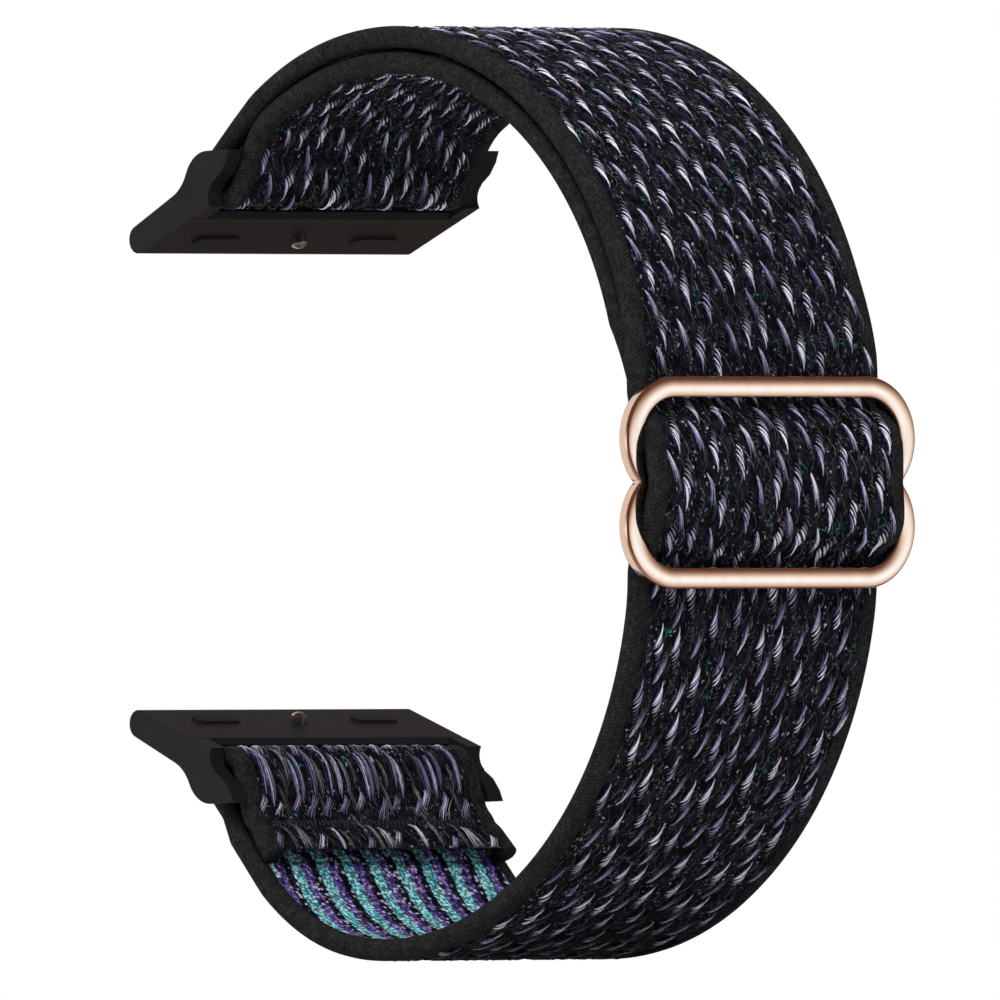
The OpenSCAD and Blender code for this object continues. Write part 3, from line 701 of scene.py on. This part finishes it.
def feather():
    """A twisted yarn that turns up its plies one below the other and ends in a tail."""
    ends = [(0.2, 1.34), (0.29, 0.98), (0.34, 0.58), (0.35, 0.14), (0.33, -0.3), (0.29, -0.74)]
    greys = [1.0, 1.0, 0.9, 0.7, 0.4, 0.3]
    # Each ply's brightness at its top and its bottom: dim on the upper plies, bright on the lower
    # ones and darker at each lower end, painted light and shade on the yarn.
    tones = [(0.3, 0.26), (0.4, 0.3), (0.46, 0.36), (0.66, 0.44), (0.92, 0.6), (1.0, 0.72)]
    # The first strand, thick and dim beneath the plies, is painted shade.
    made = [((0.1, 1.5), (0.16, 0.8), (0.1, 0.0), (-0.12, -1.2), 0.15, 0.1, 0.16, 0.2)]
    for i, (end, (top, bottom), grey) in enumerate(zip(ends, tones, greys)):
        start = (-0.07 * i, 1.78 - 0.29 * i)
        made.append(ply(start, end, 0.056 + 0.008 * i, top, bottom, grey))
    return made + [
        ply((-0.4, 0.08), (0.2, -1.2), 0.085, 1.0, 0.9, 0.35),
        ((-0.34, -0.2), (-0.14, -0.75), (0.0, -1.25), (0.04, -1.85), 0.075, 0.95, 0.75, 0.4),
        # A dim violet strand at the plies' left: painted shade.
        ((-0.5, 0.2), (-0.42, -0.3), (-0.28, -0.8), (-0.14, -1.35), 0.055, 0.34, 0.2, 0.0),
    ]


def spread(starts, ends, radius, top, bottom, grey, count):
    """Plies laid side by side from one line of starts to one line of ends."""
    made = []
    for i in range(count):
        share = i / (count - 1)
        start, end = (
            tuple(a + (b - a) * share for a, b in zip(*line)) for line in (starts, ends)
        )
        made.append(ply(start, end, radius, top - 0.12 * (i % 2), bottom + 0.1 * (i % 3), grey))
    return made


def leaf():
    """A flat bundle of fine plies that hangs from its tip. Its left plies are dim and violet, and
    each ply darkens towards its lower end: painted shade.
    """
    made = []
    # Each ply's brightness at its top and how grey it is. Its lower end keeps 0.55 of that
    # brightness, which is painted shade.
    looks = [(0.34, 0.0), (0.5, 0.1), (0.8, 0.3), (0.62, 0.2), (1.0, 0.5), (0.85, 0.4), (0.7, 0.8)]
    for i, (bright, grey) in enumerate(looks):
        share = i / 6
        tip = (0.012 * i, -0.3 * (1 - share) ** 2 - 0.14 * max(0, i - 4))
        end = (0.32 + 0.6 * share, -1.9 - 0.25 * (i % 3) - 0.2 * share)
        knees = (0.1 + 0.2 * share, -0.8 + 0.2 * share), (0.22 + 0.44 * share, -1.36)
        radius = 0.052 + 0.01 * (i == 4)
        made.append((tip, *knees, end, radius, bright, 0.55 * bright, grey))
    return made + [
        ((0.78, -1.9), (0.98, -2.5), (0.95, -3.0), (0.66, -3.65), 0.045, 0.42, 0.16, 0.9),
        ((0.58, -2.0), (0.78, -2.5), (0.74, -2.9), (0.5, -3.3), 0.035, 0.34, 0.12, 0.9),
    ]


KINDS = {
    "feather": feather(),
    # A shorter feather. Its thick dim strand beneath the plies and its dim violet strand at their
    # left are painted shade, and its plies' brightness from top to bottom paints light and shade
    # along them.
    "short_feather": [
        ((-0.1, 0.9), (0.0, 0.4), (0.02, -0.2), (-0.1, -0.9), 0.14, 0.12, 0.16, 0.1),
        ply((-0.22, 1.22), (0.24, 0.4), 0.07, 1.0, 0.7, 0.4),
        ply((-0.32, 0.94), (0.26, -0.1), 0.075, 0.95, 0.6, 0.2),
        ply((-0.37, 0.6), (0.24, -0.6), 0.08, 0.9, 0.8, 0.3),
        ply((-0.35, 0.2), (0.16, -1.2), 0.07, 0.7, 0.85, 0.3),
        ply((-0.46, 0.3), (-0.2, -1.0), 0.055, 0.34, 0.2, 0.0),
        ply((0.2, 1.0), (1.24, -0.72), 0.045, 0.4, 0.3, 0.9),
        ((-0.02, -0.4), (-0.1, -0.9), (-0.28, -1.45), (-0.55, -2.0), 0.05, 0.4, 0.15, 0.7),
    ],
    "leaf": leaf(),
    # Fine fibres of the ground that come to the face, and its ladders of short loops
    "wisp": [
        ply((-0.55, 0.7), (-0.2, -0.3), 0.035, 0.34, 0.2, 1.0),
        ply((0.25, 0.5), (0.7, -0.35), 0.04, 0.24, 0.36, 0.8),
        ply((-0.15, 0.0), (0.0, -0.95), 0.04, 0.4, 0.2, 0.9),
        ply((0.55, 0.9), (0.62, 0.1), 0.035, 0.3, 0.2, 0.4),
        ply((0.2, -0.5), (-0.1, -1.2), 0.035, 0.22, 0.34, 1.0),
    ],
    "ladder": [
        ply((-0.22, z + 0.14), (0.16 + 0.1 * z, z - 0.14), 0.04, 0.3, 0.34, 0.9)
        for z in (0.66, 0.33, 0.0, -0.33, -0.66)
    ],
    "curl": [
        ((-0.3, 1.75), (-0.1, 1.1), (0.12, 0.2), (0.06, -1.7), 0.065, 0.5, 1.0, 0.3),
        ((-0.2, 1.7), (0.02, 1.0), (0.22, 0.0), (0.18, -1.4), 0.055, 0.85, 0.75, 0.6),
        ((-0.4, 1.4), (-0.2, 0.8), (0.0, 0.1), (-0.08, -1.5), 0.06, 0.45, 0.65, 0.0),
        ((-0.1, 1.4), (0.12, 0.7), (0.32, -0.2), (0.3, -1.1), 0.045, 0.6, 0.4, 1.0),
        ((-0.46, 1.0), (-0.3, 0.5), (-0.14, -0.2), (-0.2, -1.1), 0.045, 0.3, 0.4, 0.2),
    ],
    "dull_curl": [
        ((-0.28, 1.6), (-0.06, 1.0), (0.16, 0.1), (0.14, -1.4), 0.05, 0.5, 0.6, 1.0),
        ((-0.16, 1.5), (0.08, 0.8), (0.26, 0.0), (0.3, -1.2), 0.045, 0.42, 0.5, 1.0),
        ((-0.38, 1.2), (-0.18, 0.7), (0.0, 0.0), (0.0, -1.1), 0.04, 0.36, 0.3, 0.8),
        ply((-0.05, 0.9), (0.42, -0.3), 0.035, 0.34, 0.44, 0.8),
    ],
    "knot": [
        ((0.3 + d, 1.0 - d), (0.1 + d, 0.4), (-0.3 + d, -0.2), (-0.72 + 1.1 * d, -1.0 - d), *look)
        for d, look in (
            (0.0, (0.055, 0.5, 0.7, 0.0)),
            (0.1, (0.05, 0.9, 0.6, 0.4)),
            (0.2, (0.045, 0.5, 0.9, 0.7)),
            (0.34, (0.05, 0.75, 0.5, 0.3)),
            (0.48, (0.04, 0.4, 0.6, 0.9)),
        )
    ],
    "fan": spread(
        starts=((-0.35, 1.4), (-0.15, 1.3)),
        ends=((-0.4, -1.3), (0.5, -1.2)),
        radius=0.045,
        top=0.85,
        bottom=0.5,
        grey=0.85,
        count=8,
    ),
}

# The kinds that lie in disorder, in the folds
LOOSE = ("curl", "dull_curl", "knot", "fan")

# One repeat of each pattern: where its kinds lie, right and up from its first feather. Leaves
# are placed by the tip.
HERRINGBONE = {
    "feather": [(0.0, 0.0), (3.33, -1.65), (8.09, -0.2)],
    "short_feather": [(4.69, 1.42)],
    "leaf": [(1.45, 0.75), (6.03, 0.5), (9.11, -1.54)],
    "wisp": [(0.95, -0.75), (2.75, 1.0), (4.45, -1.2), (7.15, 1.2), (8.75, 1.3)],
    "ladder": [(1.2, -1.6), (5.5, -1.3), (7.3, -0.6)],
}
FOLDED = {
    "curl": [(0.0, 0.0), (2.6, -0.3), (3.3, -0.15), (4.2, 0.2), (5.8, 0.3)],
    "dull_curl": [(0.85, -0.5), (1.75, 0.4), (5.0, -0.4), (1.3, -2.6), (4.7, -2.5)],
    "knot": [(0.4, -2.5), (2.1, -2.3), (3.6, -2.7), (5.6, -2.6)],
    "wisp": [(2.9, -2.4)],
}
TAIL = {
    "fan": [(0.0, 0.0)],
    "curl": [(3.66, 0.1)],
    "dull_curl": [(4.5, -0.1), (7.1, 0.1)],
    "knot": [(1.6, -0.2), (6.1, -0.2)],
    "wisp": [(0.9, 0.2), (2.7, 0.1), (5.3, 0.1)],
}


def zone(end, first, step, width=10, up=1, repeat=HERRINGBONE, reach=10.3):
    """A zone of the route, up to end: the place of a first feather along and across, the step
    to the next row, the width of a repeat, its upward direction along the route, the repeat,
    and how far to the right its floats reach."""
    return end, first, step, width, up, repeat, reach


ZONES = [
    zone(LOWER_SEAM - 0.6, (1.25, -8.3), (20.0, 0.0), 8.15, repeat=TAIL),
    zone(route.at("lower_lead"), (7.6, -9.4), (5.6, 0.6), 6.6, repeat=FOLDED),
    zone(route.at("lower_foot"), (route.at("lower_foot") - 5.67, -7.3), (4.35, 0.85), up=-1),
    zone(route.at("upper_flank"), (HUMP_MIDDLE + 3.9, -9.6), (3.95, -0.85), reach=11.2),
    zone(route.end, (route.at("upper_flank") + 13.92, -9.64), (4.58, -0.4)),
]
# Where floats may start on the left, how far their strands may spread, and more than enough
# repeats to cover the width
FLOATS_LEFT = -10.6
SPREAD = (-10.9, 11.5)
COLUMNS = range(-12, 13)


def float_places(start, end):
    """Kind, place along and across, and upward direction of the floats from start to end."""
    found = []
    zone_start = 0.0
    for zone_end, (s0, y0), (step_s, step_y), width, up, repeat, reach in ZONES:
        low, high = max(start, zone_start), min(end, zone_end)
        zone_start = zone_end
        if low >= high:
            continue
        rows = range(int((low - s0) / step_s) - 3, int((high - s0) / step_s) + 4)
        spots = [(kind, *spot) for kind, group in repeat.items() for spot in group]
        for row, column, (kind, right, rise) in itertools.product(rows, COLUMNS, spots):
            s = s0 + row * step_s + up * rise
            y = y0 + row * step_y + column * width + right
            if low <= s < high and FLOATS_LEFT < y < reach:
                found.append((kind, s, y, up))
    return sorted(found)


STRAND_RINGS, STRAND_SIDES = 7, 4
# How deep a strand's ends lie in the ground, and how far its middle stays below the top
SUNK, SPARE = 0.1, 0.07
# How far floats stray from their places, how much they differ in size, and how dark the
# darkest one is: in rows, and in disorder
NEAT, ASTRAY = (0.09, 0.06, 0.76), (0.22, 0.16, 0.6)


def strand_rings(s, y, h, up, reach):
    """A ring round each place of the strands, square to the strand as seen from the face."""
    step_s, step_y = up * np.gradient(s, axis=2), np.gradient(y, axis=2)
    length = np.maximum(np.hypot(step_s, step_y), 1e-6)
    side_s, side_y = -step_y / length, step_s / length
    a = np.arange(STRAND_SIDES) * TAU / STRAND_SIDES
    ring_s = s[..., None] + (up * reach * side_s)[..., None] * np.cos(a)
    ring_y = y[..., None] + (reach * side_y)[..., None] * np.cos(a)
    ring_h = np.minimum(h[..., None] + 0.85 * reach[..., None] * np.sin(a), FLOAT_TOP)
    return ring_s, ring_y, ring_h


def strands(kind, places):
    """The strands of all floats of one kind, as tubes ready for a Sheaf."""
    rng = np.random.default_rng(int(places[0][1] * 100) + len(places))
    s0, y0, up = (np.array([p[i] for p in places], float)[:, None, None] for i in (1, 2, 3))
    shape = KINDS[kind]
    n, m = len(places), len(shape)
    ends = np.array([strand[:4] for strand in shape])
    radius, top, bottom, grey = np.array([strand[4:] for strand in shape]).T[:, None, :, None]
    t = np.linspace(0, 1, STRAND_RINGS)
    blend = np.stack([(1 - t) ** 3, 3 * t * (1 - t) ** 2, 3 * t * t * (1 - t), t**3])
    curve = np.einsum("mkc,kr->cmr", ends, blend)[:, None]
    stray, swell, dark = ASTRAY if kind in LOOSE else NEAT
    wobble = rng.normal(0, 0.035, (2, n, m, 1))
    wobble = wobble + rng.normal(0, stray, (2, n, 1, 1))
    size = 1 + rng.normal(0, swell, (n, 1, 1))
    y = y0 + curve[0] * size + wobble[0]
    s = s0 + up * (curve[1] * size + wobble[1])
    arch = np.sin(math.pi * (0.04 + 0.92 * t)) ** 0.4
    lift = 0.035 * (np.arange(m) % 3)[:, None] - 1.1 * (radius[0] - 0.07)
    h = GROUND_H - SUNK + (FLOAT_TOP - GROUND_H - SPARE) * arch + lift + 0 * s
    reach = radius * (0.35 + 0.65 * arch) * (1 + rng.normal(0, 0.1, (n, m, 1)))
    rings = strand_rings(s, y, h, up, reach)
    bright = rng.uniform(dark, 1.15, (n, 1, 1))
    bright = bright * rng.uniform(0.72, 1.15, (n, m, 1))
    # A strand's brightness: its float's and its own chance brightness, times the painted light and
    # shade from its top to its bottom, and lower towards its ends, where it sinks into the ground:
    # painted shade.
    tone = bright * (top + (bottom - top) * t) * (0.45 + 0.55 * arch)
    grey = np.clip(grey + rng.normal(0, 0.15, (n, m, 1)), 0, 1) + 0 * t
    looks = (np.broadcast_to(v[..., None], rings[0].shape) for v in (tone, grey))
    return [v.reshape(n * m, STRAND_RINGS, STRAND_SIDES) for v in (*rings, *looks)]


def drift(s):
    """How far the hump is pushed to the left between the slider's ends."""
    return HUMP_DRIFT * smooth(1.2 - np.abs(s - HUMP_MIDDLE) / DRIFT_REACH)


def squeeze(s, y):
    """Moves a place across the full webbing to where it lies on the drawn-in webbing."""
    return y * half_width(s) / HALF_W + drift(s)


def seam_dip(s):
    """How far a seam presses the faces in."""
    lower, upper = (np.exp(-(((s - at) / SEAM_HALF) ** 2)) for at in (LOWER_SEAM, SLIDER_SEAM))
    return lower + upper


BODY_COLUMNS, BODY_STEP = 41, 0.35
EDGE_SIDES, EDGE_STEP, RIB_PITCH = 16, 0.14, 0.33
# What the floats leave free at both ends of the webbing
END_GAP = 0.05


def body_section(s):
    """The webbing's body between its edges, as a ring of across and height for each s."""
    reach = HALF_W - EDGE_R
    face = np.linspace(-reach, reach, BODY_COLUMNS)
    y = np.concatenate([face, face[::-1]])
    h = np.concatenate([np.full(BODY_COLUMNS, GROUND_H), np.full(BODY_COLUMNS, STRIPE_H)])
    dip = seam_dip(s)[:, None]
    h = h[None, :] * (1 - 0.35 * dip) + crown(s[:, None], y[None, :] / HALF_W)
    y = squeeze(s[:, None], y[None, :])
    return y, h


def lay_body(sheaf, start, end):
    """The face with the floats' ground, and the striped face."""
    s = np.linspace(start, end, max(8, int((end - start) / BODY_STEP)))
    y, h = body_section(s)
    s = np.repeat(s[:, None], y.shape[1], 1)
    points, places = route.place(s, y, h), np.stack([s, y], -1)
    sheaf.grid(points[:, :BODY_COLUMNS], GROUND, places[:, :BODY_COLUMNS])
    sheaf.grid(points[:, BODY_COLUMNS:], STRIPES, places[:, BODY_COLUMNS:])


def lay_edges(sheaf, start, end):
    """The rolled edges, with threads laid slantwise round them."""
    s = np.linspace(start, end, max(12, int((end - start) / EDGE_STEP)))[:, None]
    a = np.linspace(0, TAU, EDGE_SIDES, endpoint=False)[None, :]
    for side in (-1, 1):
        rib = np.cos((s / RIB_PITCH + a / TAU * side) * TAU) + 0.5 * np.sin(s * 5.3 + 3 * a)
        r = EDGE_R - 0.02 + 0.003 * rib
        r = r * (1 - 0.12 * seam_dip(s))
        y = side * (HALF_W - EDGE_R) + r * np.cos(a)
        y = y + ((half_width(s) - HALF_W) * side + drift(s))
        points = route.place(s + 0 * a, y, r * np.sin(a))
        places = np.stack([s + 0 * a, a * EDGE_R + 0 * s], -1)
        sheaf.grid(points, EDGES, places, loop=True, caps=True)


def lay_floats(sheaf, start, end):
    """The floats, kind by kind, pressed down at the seams and drawn in with the webbing."""
    found = float_places(start, end)
    for kind in KINDS:
        places = [p for p in found if p[0] == kind]
        if not places:
            continue
        s, y, h, tone, hue = strands(kind, places)
        h = h + crown(s, y / HALF_W) - 0.3 * seam_dip(s)
        y = squeeze(s, np.clip(y, *SPREAD))
        s = np.clip(s, END_GAP, route.end - END_GAP)
        sheaf.tubes(route.place(s, y, h), YARN, np.stack([s, y], -1), tone, hue)


def webbing(name, start, end):
    sheaf = Sheaf(GROUND, YARN, EDGES, STRIPES)
    lay_body(sheaf, start, end)
    lay_edges(sheaf, start, end)
    lay_floats(sheaf, start, end)
    return sheaf.piece(name)


def route_point(s):
    """The middle of the webbing at a place along the route, in metres."""
    return tuple(float(v) for v in route.place(np.array([s]), np.zeros(1), np.zeros(1))[0])


for name, (start, end, nodes) in STRETCHES.items():
    piece = webbing(name, start, end)
    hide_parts(*nodes)
    if name == "strap_lower_slack":
        low, high = route_point(start), route_point(end)
        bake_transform(piece)
    elif name == "strap_upper_slack":
        low, high = route_point(start), route_point(end)
        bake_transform(piece)
    elif name == "strap_inner_slack":
        high, low = route_point(start), route_point(end)
        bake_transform(piece)
    elif name in ("strap_hump", "strap_slider_fold"):
        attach(piece, "slider")
    else:
        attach(piece, "webbing")

# The seams

STITCH_PITCH, STITCH_LENGTH, THREAD_R = 0.4, 0.85, 0.11


def stitches(name, middle, half, body, node):
    """A close row of short stitches, each laid over a sewn fold's pressed band."""
    sheaf = Sheaf(THREAD)
    rng = np.random.default_rng(int(100 * half))
    t = np.linspace(0, 1, 7)
    a = np.arange(6) * TAU / 6
    for y0 in np.arange(-half, half, STITCH_PITCH):
        shift, lean = rng.normal(0, 0.05, 2)
        s = middle + shift + (t - 0.5) * STITCH_LENGTH
        y = y0 + (t - 0.5) * (0.1 + lean)
        h = 0.38 + 0.2 * np.sin(math.pi * t) ** 0.5
        ring_y = y[:, None] + THREAD_R * np.cos(a)
        ring_s = s[:, None] + 0 * a
        ring_h = h[:, None] + THREAD_R * np.sin(a)
        points, places = route.place(ring_s, ring_y, ring_h), np.stack([ring_s, ring_y], -1)
        sheaf.grid(points, THREAD, places, loop=True, caps=True)
    made = sheaf.piece(name)
    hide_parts(node)
    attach(made, body)


stitches("lower_fold_stitches", LOWER_SEAM, 10.2, "webbing", "lower_fold_seam")
stitches("slider_fold_stitches", SLIDER_SEAM, 9.0, "slider", "slider_fold_seam")

# The metal


def dress(node, finish):
    """Gives a CAD node that stays as it is its finish."""
    thing = NODES[node]
    thing.data.materials.clear()
    thing.data.materials.append(finish.material)


# The slider's frame: two rings of polished wire that meet at the waist, each with its flat
# back and its domed front, and the middle bar that two short legs carry behind them
WIRE, WIRE_DEPTH, WIRE_CORNER, DOME_R, DOME_HALF = 1.7, 1.3, 0.35, 3.0, 0.736
WIRE_X, RING_Y, RING_Z, RING_R = 29.2, 9.7, 3.425, 4.05
WAIST_A, WAIST_PAST = math.degrees(math.asin(RING_Z / RING_R)), 12.0
MID_BAR_X, MID_BAR_D, LEG_Y = 26.95, 1.2, 11.1615


def arc(x, y, r, start, end, count):
    """Points of an arc, from one angle in degrees to another."""
    a = np.radians(np.linspace(start, end, count))
    return np.stack([x + r * np.cos(a), y + r * np.sin(a)], -1)


def wire_section():
    """Outwards and forwards, in mm, once round the wire."""
    side, front = WIRE / 2 - WIRE_CORNER, WIRE_DEPTH / 2 - WIRE_CORNER
    dome_y = WIRE_DEPTH / 2 - DOME_R
    half = math.degrees(math.asin(DOME_HALF / DOME_R))
    cut = math.degrees(math.acos((DOME_HALF - side) / WIRE_CORNER))
    right = [
        arc(0, dome_y, DOME_R, 90, 90 - half, 9),
        arc(side, front, WIRE_CORNER, cut - 8, 0, 6),
        arc(side, -front, WIRE_CORNER, 0, -90, 7),
        [[side * 0.5, -WIRE_DEPTH / 2], [0.0, -WIRE_DEPTH / 2]],
    ]
    right = np.concatenate(right)
    return np.concatenate([right, right[-2:0:-1] * [-1, 1]])


def swept(sheaf, section, places, outwards, forwards):
    """A closed tube along places, its section turned to each place's two directions."""
    rings = places[:, None] + (
        section[None, :, :1] * outwards[:, None] + section[None, :, 1:] * forwards[:, None]
    )
    along = np.concatenate([[0], np.cumsum(np.linalg.norm(np.diff(places, axis=0), axis=1))])
    flat = np.stack(
        np.broadcast_arrays(along[:, None], np.linspace(0, 5, len(section))[None]), -1
    )
    sheaf.grid(rings * MM, ROSE_GOLD, flat, loop=True, caps=True)


def ring_wires(sheaf):
    """The upper ring and its mirror image, each a wire from the waist round to the waist."""
    reach = WAIST_A + WAIST_PAST
    right = arc(RING_Y, RING_Z, RING_R, -reach, 90, 66)
    left = arc(-RING_Y, RING_Z, RING_R, 90, 180 + reach, 66)
    top = np.stack([np.linspace(RING_Y, -RING_Y, 24)[1:-1], np.full(22, RING_Z + RING_R)], -1)
    path = np.concatenate([right, top, left])
    centre = np.stack([np.clip(path[:, 0], -RING_Y, RING_Y), np.full(len(path), RING_Z)], -1)
    out = (path - centre) / RING_R
    for end in (1, -1):
        flip = np.array([1, 1, end])
        places = np.stack([np.full(len(path), WIRE_X), path[:, 0], path[:, 1]], -1) * flip
        outwards = np.stack([0 * out[:, 0], out[:, 0], out[:, 1]], -1) * flip
        forwards = np.tile([1.0, 0.0, 0.0], (len(path), 1))
        if end < 0:
            places, outwards, forwards = places[::-1], outwards[::-1], forwards[::-1]
        swept(sheaf, wire_section(), places, outwards, forwards)


def middle_bar(sheaf):
    """The bar and its two short legs, one round wire with a bend at each end."""
    elbow = MID_BAR_D / 2
    corner = arc(MID_BAR_X + elbow, LEG_Y - elbow, elbow, 90, 180, 9)
    leg = np.array([[WIRE_X, LEG_Y], [MID_BAR_X + elbow + 0.3, LEG_Y]])
    half = np.concatenate([leg, corner, [[MID_BAR_X, 5.0]]])
    line = np.concatenate([half, half[::-1] * [1, -1]])
    places = np.stack([line[:, 0], line[:, 1], 0 * line[:, 0]], -1)
    step = np.gradient(places, axis=0)
    outwards = np.stack([step[:, 1], -step[:, 0], 0 * step[:, 0]], -1)
    outwards /= np.linalg.norm(outwards, axis=1)[:, None]
    upwards = np.tile([0.0, 0.0, 1.0], (len(places), 1))
    swept(sheaf, arc(0, 0, MID_BAR_D / 2, 0, 345, 24), places, outwards, upwards)


def join_rings(made, rings):
    """Cuts the rings, the first points of the mesh, off level where they meet, and joins them."""
    mesh = bmesh.new()
    mesh.from_mesh(made.data)
    for i, point in enumerate(mesh.verts):
        if i < rings:
            upper = i < rings // 2
            point.co.z = max(point.co.z, 0) if upper else min(point.co.z, 0)
    inside = [
        face
        for face in mesh.faces
        if all(point.index < rings and abs(point.co.z) < 1e-7 for point in face.verts)
    ]
    bmesh.ops.delete(mesh, geom=inside, context="FACES")
    bmesh.ops.remove_doubles(mesh, verts=mesh.verts, dist=2e-6)
    bmesh.ops.dissolve_degenerate(mesh, edges=mesh.edges, dist=1e-6)
    bmesh.ops.recalc_face_normals(mesh, faces=mesh.faces)
    mesh.to_mesh(made.data)
    mesh.free()


def slider_frame():
    sheaf = Sheaf(ROSE_GOLD)
    ring_wires(sheaf)
    rings = sheaf.count
    middle_bar(sheaf)
    made = sheaf.piece("slider_frame")
    join_rings(made, rings)
    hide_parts("slider")
    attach(made, "slider")


STEEL_PARTS = ("bar_tube", "bar_tip_left", "bar_tip_right", "bar_spring", "lock_nub", "lock_spring")

slider_frame()
for end in ("upper", "lower"):
    dress(f"{end}_adapter", CHARCOAL)
    for part in STEEL_PARTS:
        dress(f"{end}_{part}", STEEL)
    for side in ("left", "right"):
        dress(f"{end}_pad_{side}", RUBBER)

# Floor, light and camera

VIEW = Vector((0.779, -0.627, 0.0)).normalized()
TARGET = Vector((-1.655, -2.057, -1.38)) * MM
DISTANCE, FRAME_WIDTH, SENSOR = 3.2, 78.9 * MM, 36.0
FLOOR_HALF, FLOOR_Z = 4.0, -0.0382
CLOTH_LIGHT, METAL_LIGHT = 0.55, 1.44
WHITE = (1.0, 1.0, 1.0)
STRAIGHT = ("Is Camera Ray", "Is Transmission Ray")


def studio_floor():
    """A pale floor, which the camera sees as plain white."""
    mesh = bpy.data.meshes.new("studio_floor")
    corners = [(-1, -1), (1, -1), (1, 1), (-1, 1)]
    corners = [(x * FLOOR_HALF, y * FLOOR_HALF, FLOOR_Z) for x, y in corners]
    mesh.from_pydata(corners, [], [(0, 1, 2, 3)])
    floor = bpy.data.objects.new("studio_floor", mesh)
    bpy.context.scene.collection.objects.link(floor)
    floor.visible_glossy = False
    f = Finish("pale_floor", Base_Color=(0.8, 0.8, 0.8), Roughness=0.9)
    mesh.materials.append(f.material)
    plain = f.node("ShaderNodeEmission")
    f.put(f.surface, f.mix_shaders(f.rays(*STRAIGHT), f.shader, plain))


def studio_world():
    """Even light for cloth, plain white for the camera, and for polished metal white walls with
    warm dark places where the camera stands, above and below, and a dimmer wall behind."""
    world = bpy.data.worlds.new("studio")
    bpy.context.scene.world = world
    world.use_nodes = True
    w = Graph(world.node_tree)
    way = w.node("ShaderNodeTexCoord", out="Generated")
    toward = w.node(
        "ShaderNodeVectorMath", {"operation": "DOT_PRODUCT"}, {0: way, 1: VIEW}, out="Value"
    )
    x, z = (w.part(way, axis) for axis in "XZ")
    walls = toward.fade(0.4, 0.8, 1.0, 0.0) * z.fade(-0.1, 0.32, 1.0, 0.0)
    walls = walls * z.fade(-0.5, -0.06, 0.2, 1.0) * toward.fade(-0.4, 0.1, 0.2, 1.0)
    behind = x.fade(-0.75, -0.45, 0.6, 0.0)
    mirrored = w.ramp(
        walls.most(behind),
        [
            (0.0, (0.08, 0.036, 0.023)),
            (0.45, (0.42, 0.35, 0.29)),
            (0.72, (0.64, 0.64, 0.61)),
            (0.95, (0.74, 0.92, 1.0)),
        ],
    )
    cloth, metal, plain = (
        w.node("ShaderNodeBackground", None, {0: colour, 1: strength})
        for colour, strength in ((WHITE, CLOTH_LIGHT), (mirrored, METAL_LIGHT), (WHITE, 1.0))
    )
    lit = w.mix_shaders(w.rays("Is Glossy Ray"), cloth, metal)
    surface = w.tree.nodes.new("ShaderNodeOutputWorld").inputs[0]
    w.put(surface, w.mix_shaders(w.rays(*STRAIGHT), lit, plain))


def lamp(name, place, size, watts):
    """A square soft light that looks at the strap and doesn't show in the metal."""
    data = bpy.data.lights.new(name, "AREA")
    data.shape, data.size, data.energy = "SQUARE", size, watts
    made = bpy.data.objects.new(name, data)
    made.location = place
    made.rotation_euler = (TARGET - Vector(place)).to_track_quat("-Z", "Y").to_euler()
    made.visible_glossy = False
    bpy.context.scene.collection.objects.link(made)


def studio_camera():
    data = bpy.data.cameras.new("camera")
    data.sensor_width = SENSOR
    data.lens = SENSOR * DISTANCE / FRAME_WIDTH
    data.clip_start, data.clip_end = 0.05, 20.0
    camera = bpy.data.objects.new("camera", data)
    camera.location = TARGET + VIEW * DISTANCE
    camera.rotation_euler = (-VIEW).to_track_quat("-Z", "Y").to_euler()
    bpy.context.scene.collection.objects.link(camera)
    bpy.context.scene.camera = camera


studio_floor()
studio_world()
lamp("key_light", (0.35, -0.35, 0.45), 0.35, 2.4)
lamp("side_light", (-0.25, -0.55, 0.15), 0.3, 1.2)
lamp("top_light", (-0.1, 0.1, 0.6), 0.4, 1.5)
studio_camera()
bpy.context.scene.view_settings.view_transform = "Standard"
